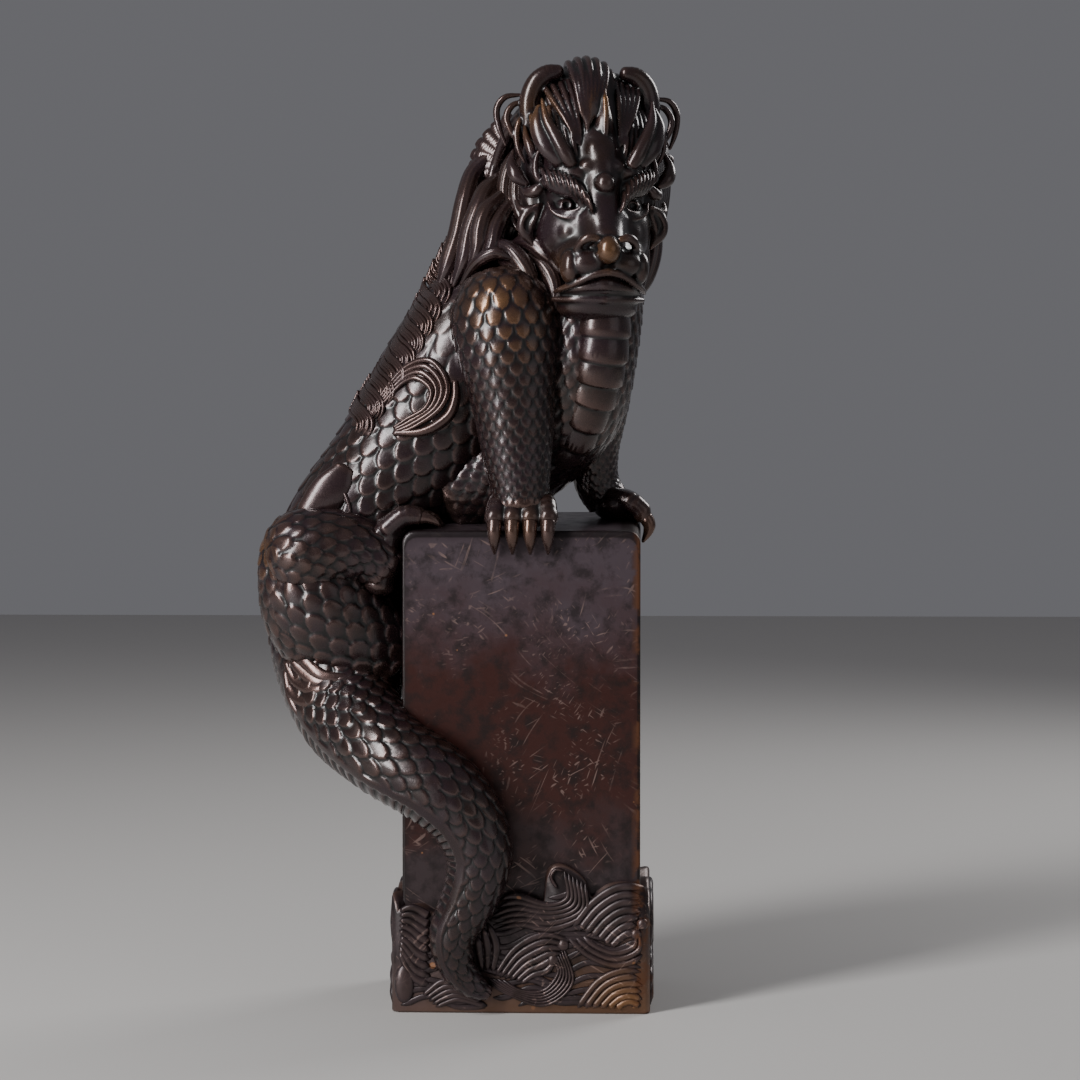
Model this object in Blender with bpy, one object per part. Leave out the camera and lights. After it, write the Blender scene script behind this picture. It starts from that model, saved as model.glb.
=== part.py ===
"""A cast bronze dragon that sits over one side of a tall block.

Its forepaws hold the block's top, its body hangs down the left side, and its tail lies across the
front into waves carved round the foot. The block stands on z = 0 with its middle over the origin,
and its front looks along -Y.
"""

import math

import bmesh
import bpy
import numpy as np

# The block, in metres. Its top rises from the front edge to the back edge.
BLOCK_WIDTH = 0.1005
BLOCK_DEPTH = 0.0750
BLOCK_HEIGHT = 0.2030
TOP_RISE = 0.0070
TOP_ROUND = 0.0050
EDGE_BEVEL = 0.0012

# The foot that stands out from the block, and the wave lines on it.
FOOT_STEP = 0.0042
FOOT_HEIGHT = 0.0530
FOOT_BEVEL = 0.0022
WAVE_HEIGHT = 0.0021
WAVE_WIDTH = 0.0018

# The figure rises this far above the block's front edge, and its casting stands clear by the gap.
FIGURE_RISE = 0.2050
FIT_GAP = 0.0003

# The figure is drawn in millimetres on a block of this width, depth and height, with this rise.
# Its proportions are shares of those, and drape() carries it onto the block above.
DRAWN_BLOCK = (100.5, 75.0, 203.0)
DRAWN_RISE = 205.0

# Rows are a place and a radius along the body, from the neck to the tip of the tail.
TRUNK = [
    (15.0, 11, 340, 19), (-3, 11, 312, 28), (-20, 8, 281, 34.5), (-39, 7, 250, 34),
    (-57, 5, 226, 30.5), (-76, 4, 200, 29), (-81, 3, 172, 30), (-80, -4, 146, 28),
    (-74, -19, 125, 22), (-57, -40, 110, 18), (-37, -47, 98, 17), (-23, -48, 84, 15),
    (-17, -48, 67, 13), (-21, -48, 50, 11), (-28, -48, 35, 9), (-27, -47, 22, 7),
    (-20, -46, 13, 5), (-13, -45.5, 9, 2),
]
# The direction of the spine at each row of the trunk.
SPINE = [
    (-0.5, 0.8, 0.3), (-0.75, 0.6, 0.3), (-0.8, 0.5, 0.35), (-0.85, 0.35, 0.4),
    (-0.9, 0.3, 0.35), (-1, 0.2, 0.15), (-1, 0.1, 0), (-1, 0, -0.2),
    (-0.8, -0.2, -0.5), (-0.6, -0.3, -0.75), (-0.55, -0.35, -0.75), (-0.8, -0.35, -0.6),
    (-0.95, -0.35, 0), (-0.9, -0.35, 0.3), (-0.93, -0.35, 0.2), (-0.93, -0.35, -0.1),
    (-0.6, -0.35, -0.75), (-0.5, -0.35, -0.8),
]
CHEST = [
    (31, -9, 330, 18), (29, -12, 306, 22), (26, -13, 280, 22.5), (21, -8, 257, 22),
    (9, 0, 241, 20), (-12, 5, 230, 24), (-34, 5, 219, 23),
]
BELLY = [
    (35, -22, 322, 9, 9), (35, -29, 300, 11, 10), (34, -29, 281, 11, 10),
    (31, -25, 266, 11, 10), (26, -20, 252, 10, 10), (19, -12, 240, 9, 10), (8, -2, 231, 7, 9),
]
NEAR_ARM = [
    (-9, -18, 306, 18), (-7, -24, 294, 23), (-5.5, -27, 279, 21.5), (-3.5, -29, 258, 17.5),
    (-2, -30, 237, 14.5), (-0.5, -31, 220, 12), (0, -32, 212, 11),
]
FAR_ARM = [
    (33, 1, 303, 15), (33, 5, 281, 15), (32.5, 7, 259, 12.5), (30, 9, 238, 10.5),
    (31, 11, 224, 9.5), (36, 12, 215, 9),
]
THIGH = [
    (-62, -6, 146, 20), (-74, -13, 158, 23), (-86, -18.5, 171, 23.5), (-94, -21.5, 182, 20),
    (-98, -22.5, 190, 12), (-99, -23, 194, 4),
]
SHIN = [
    (-107, -22, 187, 4), (-104, -22, 188, 12), (-99, -23.5, 190, 17.5), (-91, -25.5, 192.5, 19.5),
    (-77, -27, 195, 16), (-65, -27, 192, 12.5), (-57, -27, 185, 9.5),
]
HIND_TOE = [
    (-58, 0, 182, 8), (-58.5, 0, 197, 7.5), (-55, 0, 206, 6.5), (-47, 0, 207.5, 4.5),
    (-39, 0, 205, 1.2),
]
HIND_TOES_AT = (-33, -25, -17)
HEAD_AT = (28.8, -20, 341.7)
HEAD_TURN = 14

# A fin is its root, its lean, its first and last angle, its count of lobes, their reach and their bend.
FINS = [
    ((-3, 1, 358), (0, 5, 0), 98, 178, 6, (24, 16), 8),
    ((43, 3, 362), (0, 4, 0), 84, -30, 6, (19, 17), -14),
]
LOBE_WIDE = 4.2
LOBE_THICK = 3.6

# Locks of the mane on the near side: places across, ahead and up, half width and half thickness.
MANE_LOCKS = [
    [
        (-14, 5, 366, 3, 3), (-21.8, 4, 358, 4, 4), (-25.3, -2, 345.6, 4.4, 4.2),
        (-28.1, -6, 330.2, 4.6, 4.4), (-31.8, -9, 318.3, 4.2, 4), (-37.3, -9, 306, 0.8, 0.9),
    ],
    [
        (-9, 0, 356, 3, 3), (-15.5, -7, 349, 4.4, 4), (-18.8, -12, 341, 4.6, 4.2),
        (-22.6, -15, 330, 4.4, 4.2), (-24.6, -17, 319.5, 4, 3.8), (-30, -16, 307, 0.8, 0.9),
    ],
    [
        (-5, -5, 350, 3, 3), (-11, -12, 343.5, 4, 4), (-15.6, -17, 338.5, 4.2, 4),
        (-18, -20, 330.5, 4.2, 4), (-18.9, -21.6, 322, 3.4, 3.6), (-24, -20.5, 311, 0.7, 0.8),
    ],
    [
        (-3, -9, 345, 3, 3), (-8, -15, 338.5, 3.6, 3.6), (-11, -20, 331.5, 4, 3.8),
        (-12.9, -24, 323, 3.2, 3.4), (-18, -25.6, 315, 0.7, 0.8),
    ],
    [
        (-26, -20, 308, 1, 1.2), (-19, -27.5, 316.5, 2.2, 2.6), (-11, -31, 320.2, 2.4, 2.8),
        (-3.5, -31.5, 317.6, 0.8, 0.9),
    ],
    [
        (-4.5, -19, 325, 1.4, 1.6), (3.4, -25.5, 325.6, 4, 3.4), (11.1, -29.5, 320, 4.4, 3.4),
        (18.8, -31.5, 312.4, 1, 1),
    ],
    [
        (-12.5, -21, 326, 1.4, 1.6), (-5.1, -27.8, 322, 3.2, 3), (2.2, -32, 313.2, 3.6, 3.4),
        (7, -34.5, 303, 0.8, 0.9),
    ],
    [
        (-9.4, -26, 317.6, 1.4, 1.6), (-2.4, -32, 312, 2.8, 2.8), (2.8, -36.5, 304, 3, 3),
        (4.4, -42, 295.5, 0.8, 0.9),
    ],
    [
        (3, -24, 320, 2, 2), (9.6, -28.6, 314.6, 3.6, 3.2), (14.2, -32, 306, 3.4, 3.2),
        (14, -34, 293, 0.8, 0.9),
    ],
    [
        (12, -22, 322, 2.4, 2.4), (18.4, -27, 312.6, 3.4, 3.2), (21.4, -29.6, 302, 3, 3),
        (20, -31, 291.6, 0.8, 0.9),
    ],
    [
        (-14, -1, 343, 3, 3), (-23, -4, 330, 5, 5), (-30.5, -6, 315, 5, 5), (-35, -6, 302, 3.4, 3.2),
        (-38.5, -6, 290, 0.8, 0.8),
    ],
    [
        (-10, 6, 345, 4, 4), (-22, 5, 334, 5.5, 5), (-32, 4, 320, 5.5, 5), (-38, 3, 305, 3.4, 3),
        (-41.5, 2, 292, 0.8, 0.8),
    ],
]

# The same on the far side of the neck.
FAR_LOCKS = [
    [
        (44, 4, 352, 3, 3), (52, 2, 340, 4.6, 4.4), (55, 0, 326, 4.4, 4.2), (52.5, -2, 312, 3.4, 3.4),
        (47, -6, 300, 0.8, 0.9),
    ],
    [
        (40, -2, 344, 3, 3), (47, -6, 333, 4.4, 4), (50, -8, 320, 4, 3.8), (48, -12, 306, 3, 3),
        (43, -15, 296, 0.8, 0.9),
    ],
    [
        (36, 12, 360, 5, 5), (49, 13, 344, 5, 4.8), (52, 12, 327, 4.8, 4.4), (49, 10, 312, 3.4, 3.4),
        (43, 7, 299, 0.8, 0.9),
    ],
]

# The skins are brought down to about this many triangles.
CARVING_FACES = 2450
PILLAR_FACES = 2100

# The waves on the front, as shares of the foot's width from its middle and of its height.
FRONT_SKYLINE = [
    (-0.5, 0.83), (-0.43, 0.87), (-0.35, 0.80), (-0.14, 0.84), (-0.08, 0.91), (-0.02, 0.94),
    (0.04, 0.91), (0.09, 0.88), (0.11, 1.12), (0.15, 1.19), (0.20, 1.17), (0.26, 1.08),
    (0.29, 0.94), (0.33, 0.97), (0.38, 1.03), (0.44, 1.05), (0.5, 1.03),
]
# A bundle is an outer curve, an inner curve and the count of lines that pass from one to the other.
FRONT_BUNDLES = [
    (
        [(0.22, 0.05), (0.30, 0.26), (0.40, 0.35), (0.50, 0.33)],
        [(0.37, 0.05), (0.40, 0.09), (0.43, 0.10), (0.46, 0.07)], 5,
    ),
    (
        [(-0.10, 0.30), (-0.02, 0.52), (0.09, 0.63), (0.20, 0.58)],
        [(0.00, 0.24), (0.05, 0.31), (0.10, 0.34), (0.13, 0.42)], 4,
    ),
    (
        [(-0.17, 0.30), (-0.06, 0.17), (0.09, 0.07), (0.20, 0.25), (0.165, 0.54)],
        [(-0.07, 0.27), (0.00, 0.19), (0.09, 0.19), (0.145, 0.33), (0.126, 0.44)], 4,
    ),
    (
        [(0.20, 0.69), (0.28, 0.89), (0.38, 1.01), (0.49, 1.00)],
        [(0.35, 0.54), (0.38, 0.60), (0.41, 0.64), (0.44, 0.65)], 5,
    ),
    (
        [(0.18, 0.62), (0.26, 0.47), (0.37, 0.39), (0.47, 0.48), (0.47, 0.70)],
        [(0.24, 0.62), (0.30, 0.53), (0.37, 0.49), (0.44, 0.55), (0.44, 0.68)], 2,
    ),
    (
        [(-0.13, 0.84), (-0.03, 0.94), (0.10, 0.87), (0.18, 0.93), (0.17, 1.14)],
        [(-0.10, 0.67), (0.00, 0.71), (0.13, 0.68), (0.25, 0.81), (0.25, 1.04)], 5,
    ),
    (
        [(-0.146, 0.79), (-0.095, 0.55), (-0.11, 0.32)],
        [(-0.17, 0.73), (-0.20, 0.57), (-0.17, 0.36)], 3,
    ),
    (
        [(-0.48, 0.80), (-0.42, 0.84), (-0.35, 0.77)],
        [(-0.48, 0.54), (-0.42, 0.52), (-0.35, 0.42)], 4,
    ),
    (
        [(-0.38, 0.14), (-0.30, 0.25), (-0.22, 0.18)],
        [(-0.33, 0.05), (-0.24, 0.11), (-0.13, 0.06)], 3,
    ),
    (
        [(0.17, 1.14), (0.135, 1.15), (0.118, 1.09), (0.142, 1.00)],
        [(0.17, 1.14), (0.135, 1.15), (0.118, 1.09), (0.142, 1.00)], 1,
    ),
]

# Drops of foam at the ends of lines, and a smooth swell at the left corner.
KNOBS = [(0.126, 0.43), (0.165, 0.55), (0.47, 0.72), (0.445, 0.64)]
FOAM = (-0.45, 0.23)

BRONZE = (0.030, 0.018, 0.016, 1)
BLOCK_BRONZE = (0.045, 0.022, 0.018, 1)


def clear_scene():
    for obj in list(bpy.data.objects):
        bpy.data.objects.remove(obj, do_unlink=True)


def bronze(name, colour, roughness):
    material = bpy.data.materials.new(name)
    material.use_nodes = True
    shader = material.node_tree.nodes["Principled BSDF"]
    shader.inputs["Base Color"].default_value = colour
    shader.inputs["Metallic"].default_value = 0.9
    shader.inputs["Roughness"].default_value = roughness
    return material


def follow(value, drawn, real, scale):
    """Within the drawn block a place keeps its share of the block, and beyond it its distance."""
    inside = np.clip(value, -drawn, drawn)
    return inside * (real / drawn) + (value - inside) * scale


def drape(points):
    """Drawn millimetres as metres, laid on the block as it is sized."""
    width, depth, height = DRAWN_BLOCK
    scale = FIGURE_RISE / DRAWN_RISE
    x, y, z = np.asarray(points, float).T
    return np.stack(
        [
            follow(x, width / 2, BLOCK_WIDTH / 2, scale),
            follow(y, depth / 2, BLOCK_DEPTH / 2, scale),
            follow(z, height, BLOCK_HEIGHT, scale),
        ],
        axis=1,
    )


def unit(vectors):
    return vectors / np.linalg.norm(vectors, axis=-1, keepdims=True)


def curve_through(rows, count):
    """count rows, evenly spaced along a smooth curve through the rows given."""
    rows = np.asarray(rows, float)
    ends = np.vstack([2 * rows[0] - rows[1], rows, 2 * rows[-1] - rows[-2]])
    t = np.linspace(0, 1, 16, endpoint=False)[:, None]
    fine = [
        b + t * ((c - a) / 2 + t * (a - 2.5 * b + 2 * c - d / 2 + t * (1.5 * (b - c) + (d - a) / 2)))
        for a, b, c, d in zip(ends, ends[1:], ends[2:], ends[3:], strict=False)
    ]
    fine = np.vstack([*fine, rows[-1:]])
    step = np.linalg.norm(np.diff(fine[:, :3], axis=0), axis=1)
    run = np.concatenate([[0], np.cumsum(step)])
    at = np.linspace(0, run[-1], count)
    return np.stack([np.interp(at, run, column) for column in fine.T], axis=1)


def skin(rings, start, stop):
    """Vertices and faces of a closed skin over rings of points, with a pole at each end."""
    count, sides = rings.shape[:2]
    points = np.vstack([rings.reshape(-1, 3), start, stop])
    faces = []
    for ring in range(count - 1):
        for side in range(sides):
            near, far = ring * sides, (ring + 1) * sides
            after = (side + 1) % sides
            faces.append((near + side, near + after, far + after, far + side))
    last, tip = (count - 1) * sides, count * sides
    for side in range(sides):
        after = (side + 1) % sides
        faces.append((tip, after, side))
        faces.append((last + side, last + after, tip + 1))
    return points, faces


def tube(rows, out, rings, sides, relief=None):
    """A tapering limb. A row is a place, half its width and half its thickness, which lies along out."""
    rows = [row if len(row) == 5 else (*row, row[3]) for row in rows]
    out = np.broadcast_to(out, (len(rows), 3))
    path = curve_through(np.hstack([rows, out]), rings)
    middle, wide, thick = path[:, :3], path[:, 3:4], path[:, 4:5]
    ahead = unit(np.gradient(middle, axis=0))
    across = unit(np.cross(ahead, path[:, 5:]))
    outward = np.cross(across, ahead)
    angle = np.arange(sides)[None, :] * (2 * math.pi / sides)
    rise = np.zeros((rings, sides)) if relief is None else relief(rings, sides)
    grow = 1 + rise
    ring = (
        middle[:, None]
        + (thick * np.cos(angle) * grow)[..., None] * outward[:, None]
        + (wide * np.sin(angle) * grow)[..., None] * across[:, None]
    )
    start = middle[0] - ahead[0] * thick[0] * 0.5
    stop = middle[-1] + ahead[-1] * thick[-1] * 0.5
    return skin(ring, start, stop)


def ball(centre, radii, rings=6, sides=10):
    """An ellipsoid, with its poles above and below."""
    polar = np.linspace(0, math.pi, rings + 2)[1:-1, None]
    angle = np.arange(sides)[None, :] * (2 * math.pi / sides)
    level = np.stack(
        [np.sin(polar) * np.cos(angle), np.sin(polar) * np.sin(angle), -np.cos(polar) + 0 * angle],
        axis=2,
    )
    radii, centre = np.asarray(radii, float), np.asarray(centre, float)
    pole = np.array([0, 0, radii[2]])
    return skin(centre + level * radii, centre - pole, centre + pole)


def mirrored(shape, axis):
    points, faces = shape
    points = points.copy()
    points[:, axis] *= -1
    return points, [face[::-1] for face in faces]


def scales(height):
    """Relief of staggered scales: every second point of the skin stands out."""

    def relief(rings, sides):
        ring, side = np.indices((rings, sides))
        return np.where((ring + side) % 2, height, 0)

    return relief


def plates(height):
    """Relief of overlapping plates: every second ring stands out."""

    def relief(rings, sides):
        return np.where(np.indices((rings, sides))[0] % 2, height, 0)

    return relief


def flutes(height):
    """Relief of flutes along the skin: every second side stands out."""

    def relief(rings, sides):
        return np.where(np.indices((rings, sides))[1] % 2, height, 0)

    return relief


def trunk_surface(x, z):
    """The front of the trunk at this place, in drawn millimetres."""
    path = curve_through(TRUNK, 120)
    far = np.hypot(path[:, 0] - x, path[:, 2] - z)
    near = np.argmin(far / path[:, 3])
    radius = path[near, 3]
    return path[near, 1] - math.sqrt(max(radius**2 - far[near] ** 2, (0.2 * radius) ** 2))


def body():
    shapes = [
        tube(TRUNK, SPINE, 56, 18, scales(0.06)),
        tube(CHEST, (0.3, -1, 0), 9, 12),
        tube(BELLY, (0.5, -0.85, 0), 20, 8, plates(0.08)),
        tube(NEAR_ARM, (0, -1, 0), 14, 14, scales(0.06)),
        tube(FAR_ARM, (0, -1, 0), 11, 10, scales(0.06)),
    ]
    for rows in (THIGH, SHIN):
        leg = tube(rows, (0, -1, 0), 8, 12, scales(0.06))
        shapes += [leg, mirrored(leg, 1)]
    return shapes


def claw(rows, out):
    return tube(rows, out, 6, 6)


def paws():
    """The forepaws on the top, with claws over its front and right edges, and the hind feet."""
    shapes = [ball((0, -33, 211), (15, 11, 9)), ball((41, 11, 214), (12, 14, 8))]
    for x in (-11, -3.5, 4, 11.5):
        toe = [
            (x * 0.8, -32, 212, 5), (x, -40, 210, 5), (x, -43, 205, 3.4), (x, -42, 199, 2.4),
            (x, -39, 193.5, 0.7),
        ]
        shapes.append(claw(toe, (0, -1, 0.2)))
    for y in (0, 7, 14, 21):
        toe = [
            (43, y, 215, 4.8), (50, y, 213, 4.6), (53.5, y, 208, 3.2), (53.5, y, 203, 2.2),
            (51.5, y, 198, 0.7),
        ]
        shapes.append(claw(toe, (1, 0, 0.2)))
    for y in HIND_TOES_AT:
        toe = claw([(row[0], y, *row[2:]) for row in HIND_TOE], (0, -1, 0))
        shapes += [toe, mirrored(toe, 1)]
    return shapes


def spine_path(count):
    """Places on the spine, the way out of the body there, and the way along it."""
    path = curve_through(np.hstack([TRUNK, SPINE]), count)
    ahead = unit(np.gradient(path[:, :3], axis=0))
    out = path[:, 4:] - ahead * (path[:, 4:] * ahead).sum(axis=1, keepdims=True)
    out = unit(out)
    return path[:, :3] + out * path[:, 3:4], out, ahead


def crest(count=46, kept=20, height=4):
    """Slanted tufts of hair down the spine, from the nape to the hips."""
    shapes = []
    places, outs, aheads = spine_path(count)
    for place, out, ahead in list(zip(places, outs, aheads, strict=True))[2:kept]:
        side = np.cross(out, ahead)
        root = place - out * 3 - ahead * 4
        tip = place + out * height + ahead * 10
        middle = place + out * height * 0.55 + ahead * 1
        rows = [(*root, 6, 3.2), (*middle, 4.5, 2.6), (*tip, 0.8, 0.6)]
        shapes.append(tube(rows, side, 5, 6))
    return shapes


def laid(points, wide, thick, out, rings=9, sides=6):
    """A lock laid on the front of the trunk through places given across and up, tapering to its ends."""
    rows = []
    for step, (x, z) in enumerate(points):
        share = step / (len(points) - 1)
        swell = 0.35 + 0.65 * math.sin(math.pi * (0.15 + 0.75 * share))
        rows.append((x, trunk_surface(x, z) - thick * 0.2, z, wide * swell, thick * swell))
    return tube(rows, out, rings, sides)


def flank():
    """The curled scroll on the flank, the smooth leaf on the hip and the leaf fin below the thigh."""
    outer = [(-66, 250), (-57, 267), (-48, 274), (-40, 275.5), (-34, 271), (-32.5, 264)]
    inner = [(-63, 251), (-55, 262), (-46, 268), (-39, 264), (-39, 257), (-51, 246)]
    under = [(-29, 266), (-30, 257), (-38, 249), (-54, 244.5)]
    shapes = [laid(line, 3.2, 4.0, (0, -1, 0), 10) for line in (outer, inner, under)]
    shapes.append(ball((-86, -12, 216), (10, 10, 13)))
    shapes.append(laid([(-103, 150), (-94, 142), (-82, 134), (-71, 125)], 11, 5, (-0.3, -1, 0), 9, 8))
    return shapes


def fan(root, lean, first, last, count, reach, curl):
    """Lobes that spread from a root, from one angle to another, each bent by curl at its tip."""
    shapes = []
    for step in range(count):
        share = step / (count - 1)
        angle = math.radians(first + (last - first) * share)
        tipped = angle + math.radians(curl)
        way = np.array([math.cos(angle), 0, math.sin(angle)])
        bent = np.array([math.cos(tipped), 0, math.sin(tipped)])
        length = reach[0] + (reach[1] - reach[0]) * share
        start = np.array(root) + way * 2
        middle = start + way * length * 0.5 + np.array(lean) * 0.4
        tip = middle + bent * length * 0.48 + np.array(lean) * 0.6
        rows = [
            (*start, LOBE_WIDE, LOBE_THICK), (*middle, LOBE_WIDE, LOBE_THICK),
            (*tip, LOBE_WIDE * 0.5, LOBE_THICK * 0.5),
        ]
        shapes.append(tube(rows, (0, -1, 0), 6, 6))
    return shapes


def mane():
    """The fins behind the head and the locks that fall over the shoulders and the nape."""
    nape = [(20, 6, 362, 26, 22), (8, 8, 338, 28, 22), (2, 10, 318, 24, 20)]
    shapes = [tube(nape, (0, -1, 0), 6, 12, flutes(0.06))]
    for fin in FINS:
        shapes += fan(*fin)
    for rows in MANE_LOCKS + FAR_LOCKS:
        shapes.append(tube(rows, (-0.25, -1, 0.15), 6, 6))
    return shapes


def head_shapes():
    """The head in its own frame: x across it, -y ahead of it and z up, in drawn millimetres."""
    shapes = [
        ball((0, 8, 19), (27, 27, 35), 8, 14),
        ball((0, -3, 9), (23, 21, 22), 7, 14),
        ball((0, -11, -9), (19, 16.5, 17), 6, 12),
        ball((0, -15, -24), (19.5, 19, 12), 7, 14),
        ball((0, -12, -41), (18, 17, 8), 5, 12),
        tube([(0, -14, 25, 6), (0, -21, 10, 5), (0, -26, -8, 5), (0, -33, -19, 6)], (0, -1, 0), 6, 8),
        ball((0, -36, -22), (5, 5.4, 6), 4, 8),
        ball((0, -26, 6), (4.2, 4.4, 4.4), 4, 8),
        tube([(1.6, -14.5, 25, 4.6), (1.8, -17.6, 33, 3.4), (2.2, -16, 45.6, 0.6)], (0, -1, 0), 4, 6),
        tube(
            [
                (-19, -18, -38, 1.6), (-13, -27.5, -36, 3), (0, -34, -31.5, 4), (13, -27.5, -36, 3),
                (19, -18, -38, 1.6),
            ],
            (0, 0, 1), 9, 6,
        ),
        tube(
            [
                (-19, -14, -42, 1.6), (-11, -24.4, -43.5, 2.4), (0, -27.6, -44, 2.4),
                (11, -24.4, -43.5, 2.4), (19, -14, -42, 1.6),
            ],
            (0, 0, 1), 9, 6,
        ),
        tube(
            [(23, 9, 44, 5), (31, 8, 33, 7), (33, 8, 16, 8), (31, 8, 2, 7), (26, 9, -18, 2)],
            (0.5, -0.8, 0), 7, 8,
        ),
    ]
    half = [
        ball((15, -4, -12), (9.5, 15, 15), 5, 10),
        ball((9, -33, -20), (4.6, 4.2, 4.2), 4, 8),
        ball((14.6, -24.8, -29.2), (4.4, 5.8, 7), 4, 8),
        ball((14.3, -17.5, -1.5), (5.4, 4.6, 4.6), 4, 8),
        tube(
            [(7.4, -24, 0, 3), (11, -22.4, 5, 4), (16, -18.6, 7, 4.4), (22, -11, 11, 3.4)],
            (0, -0.8, 0.6), 7, 6,
        ),
        tube(
            [
                (14.2, -20.5, 15.6, 4.6), (17.8, -19.6, 21, 6.2), (21.2, -17, 28, 6.8),
                (22.4, -10, 42.5, 1),
            ],
            (0, -1, 0), 7, 8,
        ),
        tube(
            [
                (22, 3, 22, 4.6), (25.4, 2, 35, 4.8), (23.6, -0.5, 50.4, 4.6), (19.2, -1.8, 54.4, 4),
                (14.4, -2.4, 55.4, 3.2),
            ],
            (0, -1, 0), 9, 6,
        ),
        tube([(23, -6, -2, 2.4), (27.6, -5.4, -7, 4), (25.5, -4, -18.5, 0.8)], (0, -1, 0.2), 5, 6),
        tube([(26, -3, 24, 3), (30, 0, 14, 5), (26, -5, 2, 4)], (0, -1, 0), 5, 6),
    ]
    for shape in half:
        shapes += [shape, mirrored(shape, 0)]
    hair = [
        (0, -12, 24, 18, 8), (-1, -12, 38, 18, 8), (-2, -5, 52, 16, 8), (-2, 8, 55, 20, 8),
        (-2, 24, 44, 25, 9), (-4, 34, 18, 28, 9), (-8, 37, -12, 25, 8), (-12, 36, -42, 14, 4),
    ]
    outs = [
        (0, -1, 0.4), (0, -1, 0.5), (0, -0.6, 1), (0, 0.5, 1),
        (0, 1, 0.6), (0, 1, 0), (0, 1, -0.2), (0, 1, -0.2),
    ]
    shapes.append(tube(hair, outs, 13, 20, flutes(0.10)))
    tuft = [(-5.4, -16, 30, 2, 2), (-3.6, -15, 46, 7, 4), (-2, -5, 58, 9, 5), (-2, 12, 58, 8, 4)]
    shapes.append(tube(tuft, (0, -0.8, 0.6), 7, 8))
    return shapes


def head():
    """The head, turned and set on the neck."""
    turn = math.radians(HEAD_TURN)
    spin = np.array(
        [[math.cos(turn), -math.sin(turn), 0], [math.sin(turn), math.cos(turn), 0], [0, 0, 1]]
    )
    return [(points @ spin.T + HEAD_AT, faces) for points, faces in head_shapes()]


def mesh_object(name, shapes):
    """One object that holds every shape given."""
    points, faces, start = [], [], 0
    for places, corners in shapes:
        points.append(places)
        faces += [[corner + start for corner in face] for face in corners]
        start += len(places)
    mesh = bpy.data.meshes.new(name)
    mesh.from_pydata(np.vstack(points).tolist(), [], faces)
    obj = bpy.data.objects.new(name, mesh)
    bpy.context.scene.collection.objects.link(obj)
    return obj


def helper(obj):
    obj.hide_render = True
    obj.display_type = "WIRE"
    return obj


def boolean(obj, other, operation):
    """The MANIFOLD solver, because the EXACT one leaves open edges where many locks of hair cross."""
    modifier = obj.modifiers.new(operation.lower(), "BOOLEAN")
    modifier.operation = operation
    modifier.solver = "MANIFOLD"
    modifier.object = other


def fuse(obj, shapes):
    """Unites the shapes with the object, one by one, as a caster joins waxes."""
    for shape in shapes:
        boolean(obj, helper(mesh_object("wax", [shape])), "UNION")
    settle(obj)


def thin_out(obj, faces):
    """Brings the skin down to about this many triangles."""
    ratio = faces / len(obj.data.polygons)
    if ratio < 1:
        modifier = obj.modifiers.new("thin_out", "DECIMATE")
        modifier.ratio = ratio
        settle(obj)


def settle(obj):
    """Takes the modifiers' result as the object's own mesh, and fills pockets closed off inside it.

    A pocket's skin faces inwards, so its volume is below nothing.
    """
    graph = bpy.context.evaluated_depsgraph_get()
    mesh = bpy.data.meshes.new_from_object(obj.evaluated_get(graph))
    obj.modifiers.clear()
    obj.data = mesh
    work = bmesh.new()
    work.from_mesh(mesh)
    bmesh.ops.triangulate(work, faces=work.faces)
    for group in islands(work):
        if volume_of(group) <= 0:
            bmesh.ops.delete(work, geom=list(group), context="FACES")
    loose = [vert for vert in work.verts if not vert.link_faces]
    bmesh.ops.delete(work, geom=loose, context="VERTS")
    work.to_mesh(mesh)
    work.free()


def islands(work):
    """The faces of each closed skin in the mesh."""
    left, groups = set(work.faces), []
    while left:
        group, edge_of = set(), [left.pop()]
        while edge_of:
            face = edge_of.pop()
            group.add(face)
            for edge in face.edges:
                for other in edge.link_faces:
                    if other in left:
                        left.discard(other)
                        edge_of.append(other)
        groups.append(group)
    return groups


def volume_of(group):
    return sum(face.verts[0].co.dot(face.verts[1].co.cross(face.verts[2].co)) for face in group)


def block_shape(gap=0.0):
    """The block, grown on every side by the gap. Its front outline has round top corners."""
    half, deep = BLOCK_WIDTH / 2 + gap, BLOCK_DEPTH / 2 + gap
    tall, turn = BLOCK_HEIGHT + gap, TOP_ROUND
    outline = [(-half, 0), (half, 0)]
    for side, first in ((1, 0), (-1, 90)):
        for step in range(5):
            angle = math.radians(first + step * 22.5)
            across = side * (half - turn) + turn * math.cos(angle)
            outline.append((across, tall - turn + turn * math.sin(angle)))
    count = len(outline)
    front = [(x, -deep, z) for x, z in outline]
    back = [(x, deep, z + (TOP_RISE if z else 0)) for x, z in outline]
    faces = [tuple(range(count)), tuple(range(2 * count - 1, count - 1, -1))]
    for corner in range(count):
        after = (corner + 1) % count
        faces.append((corner, corner + count, after + count, after))
    return np.array(front + back), faces


def foot_columns():
    """Places round the foot, as a face, a share across it and the height of the waves there as a share."""
    columns = [(0, u, v) for u, v in FRONT_SKYLINE]
    for face in (1, 2, 3):
        for share in np.linspace(-0.5, 0.5, 9):
            columns.append((face, share, 0.90 + 0.06 * math.sin(share * 5 * math.pi)))
    return columns


def face_frame(face):
    """A face of the foot: the way along it, its normal, half its length and how far out it lies."""
    angle = face * math.pi / 2
    along = np.array((round(math.cos(angle)), round(math.sin(angle)), 0))
    normal = np.array((along[1], -along[0], 0))
    halves = (BLOCK_WIDTH / 2 + FOOT_STEP, BLOCK_DEPTH / 2 + FOOT_STEP)
    return along, normal, halves[face % 2], halves[1 - face % 2]


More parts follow.
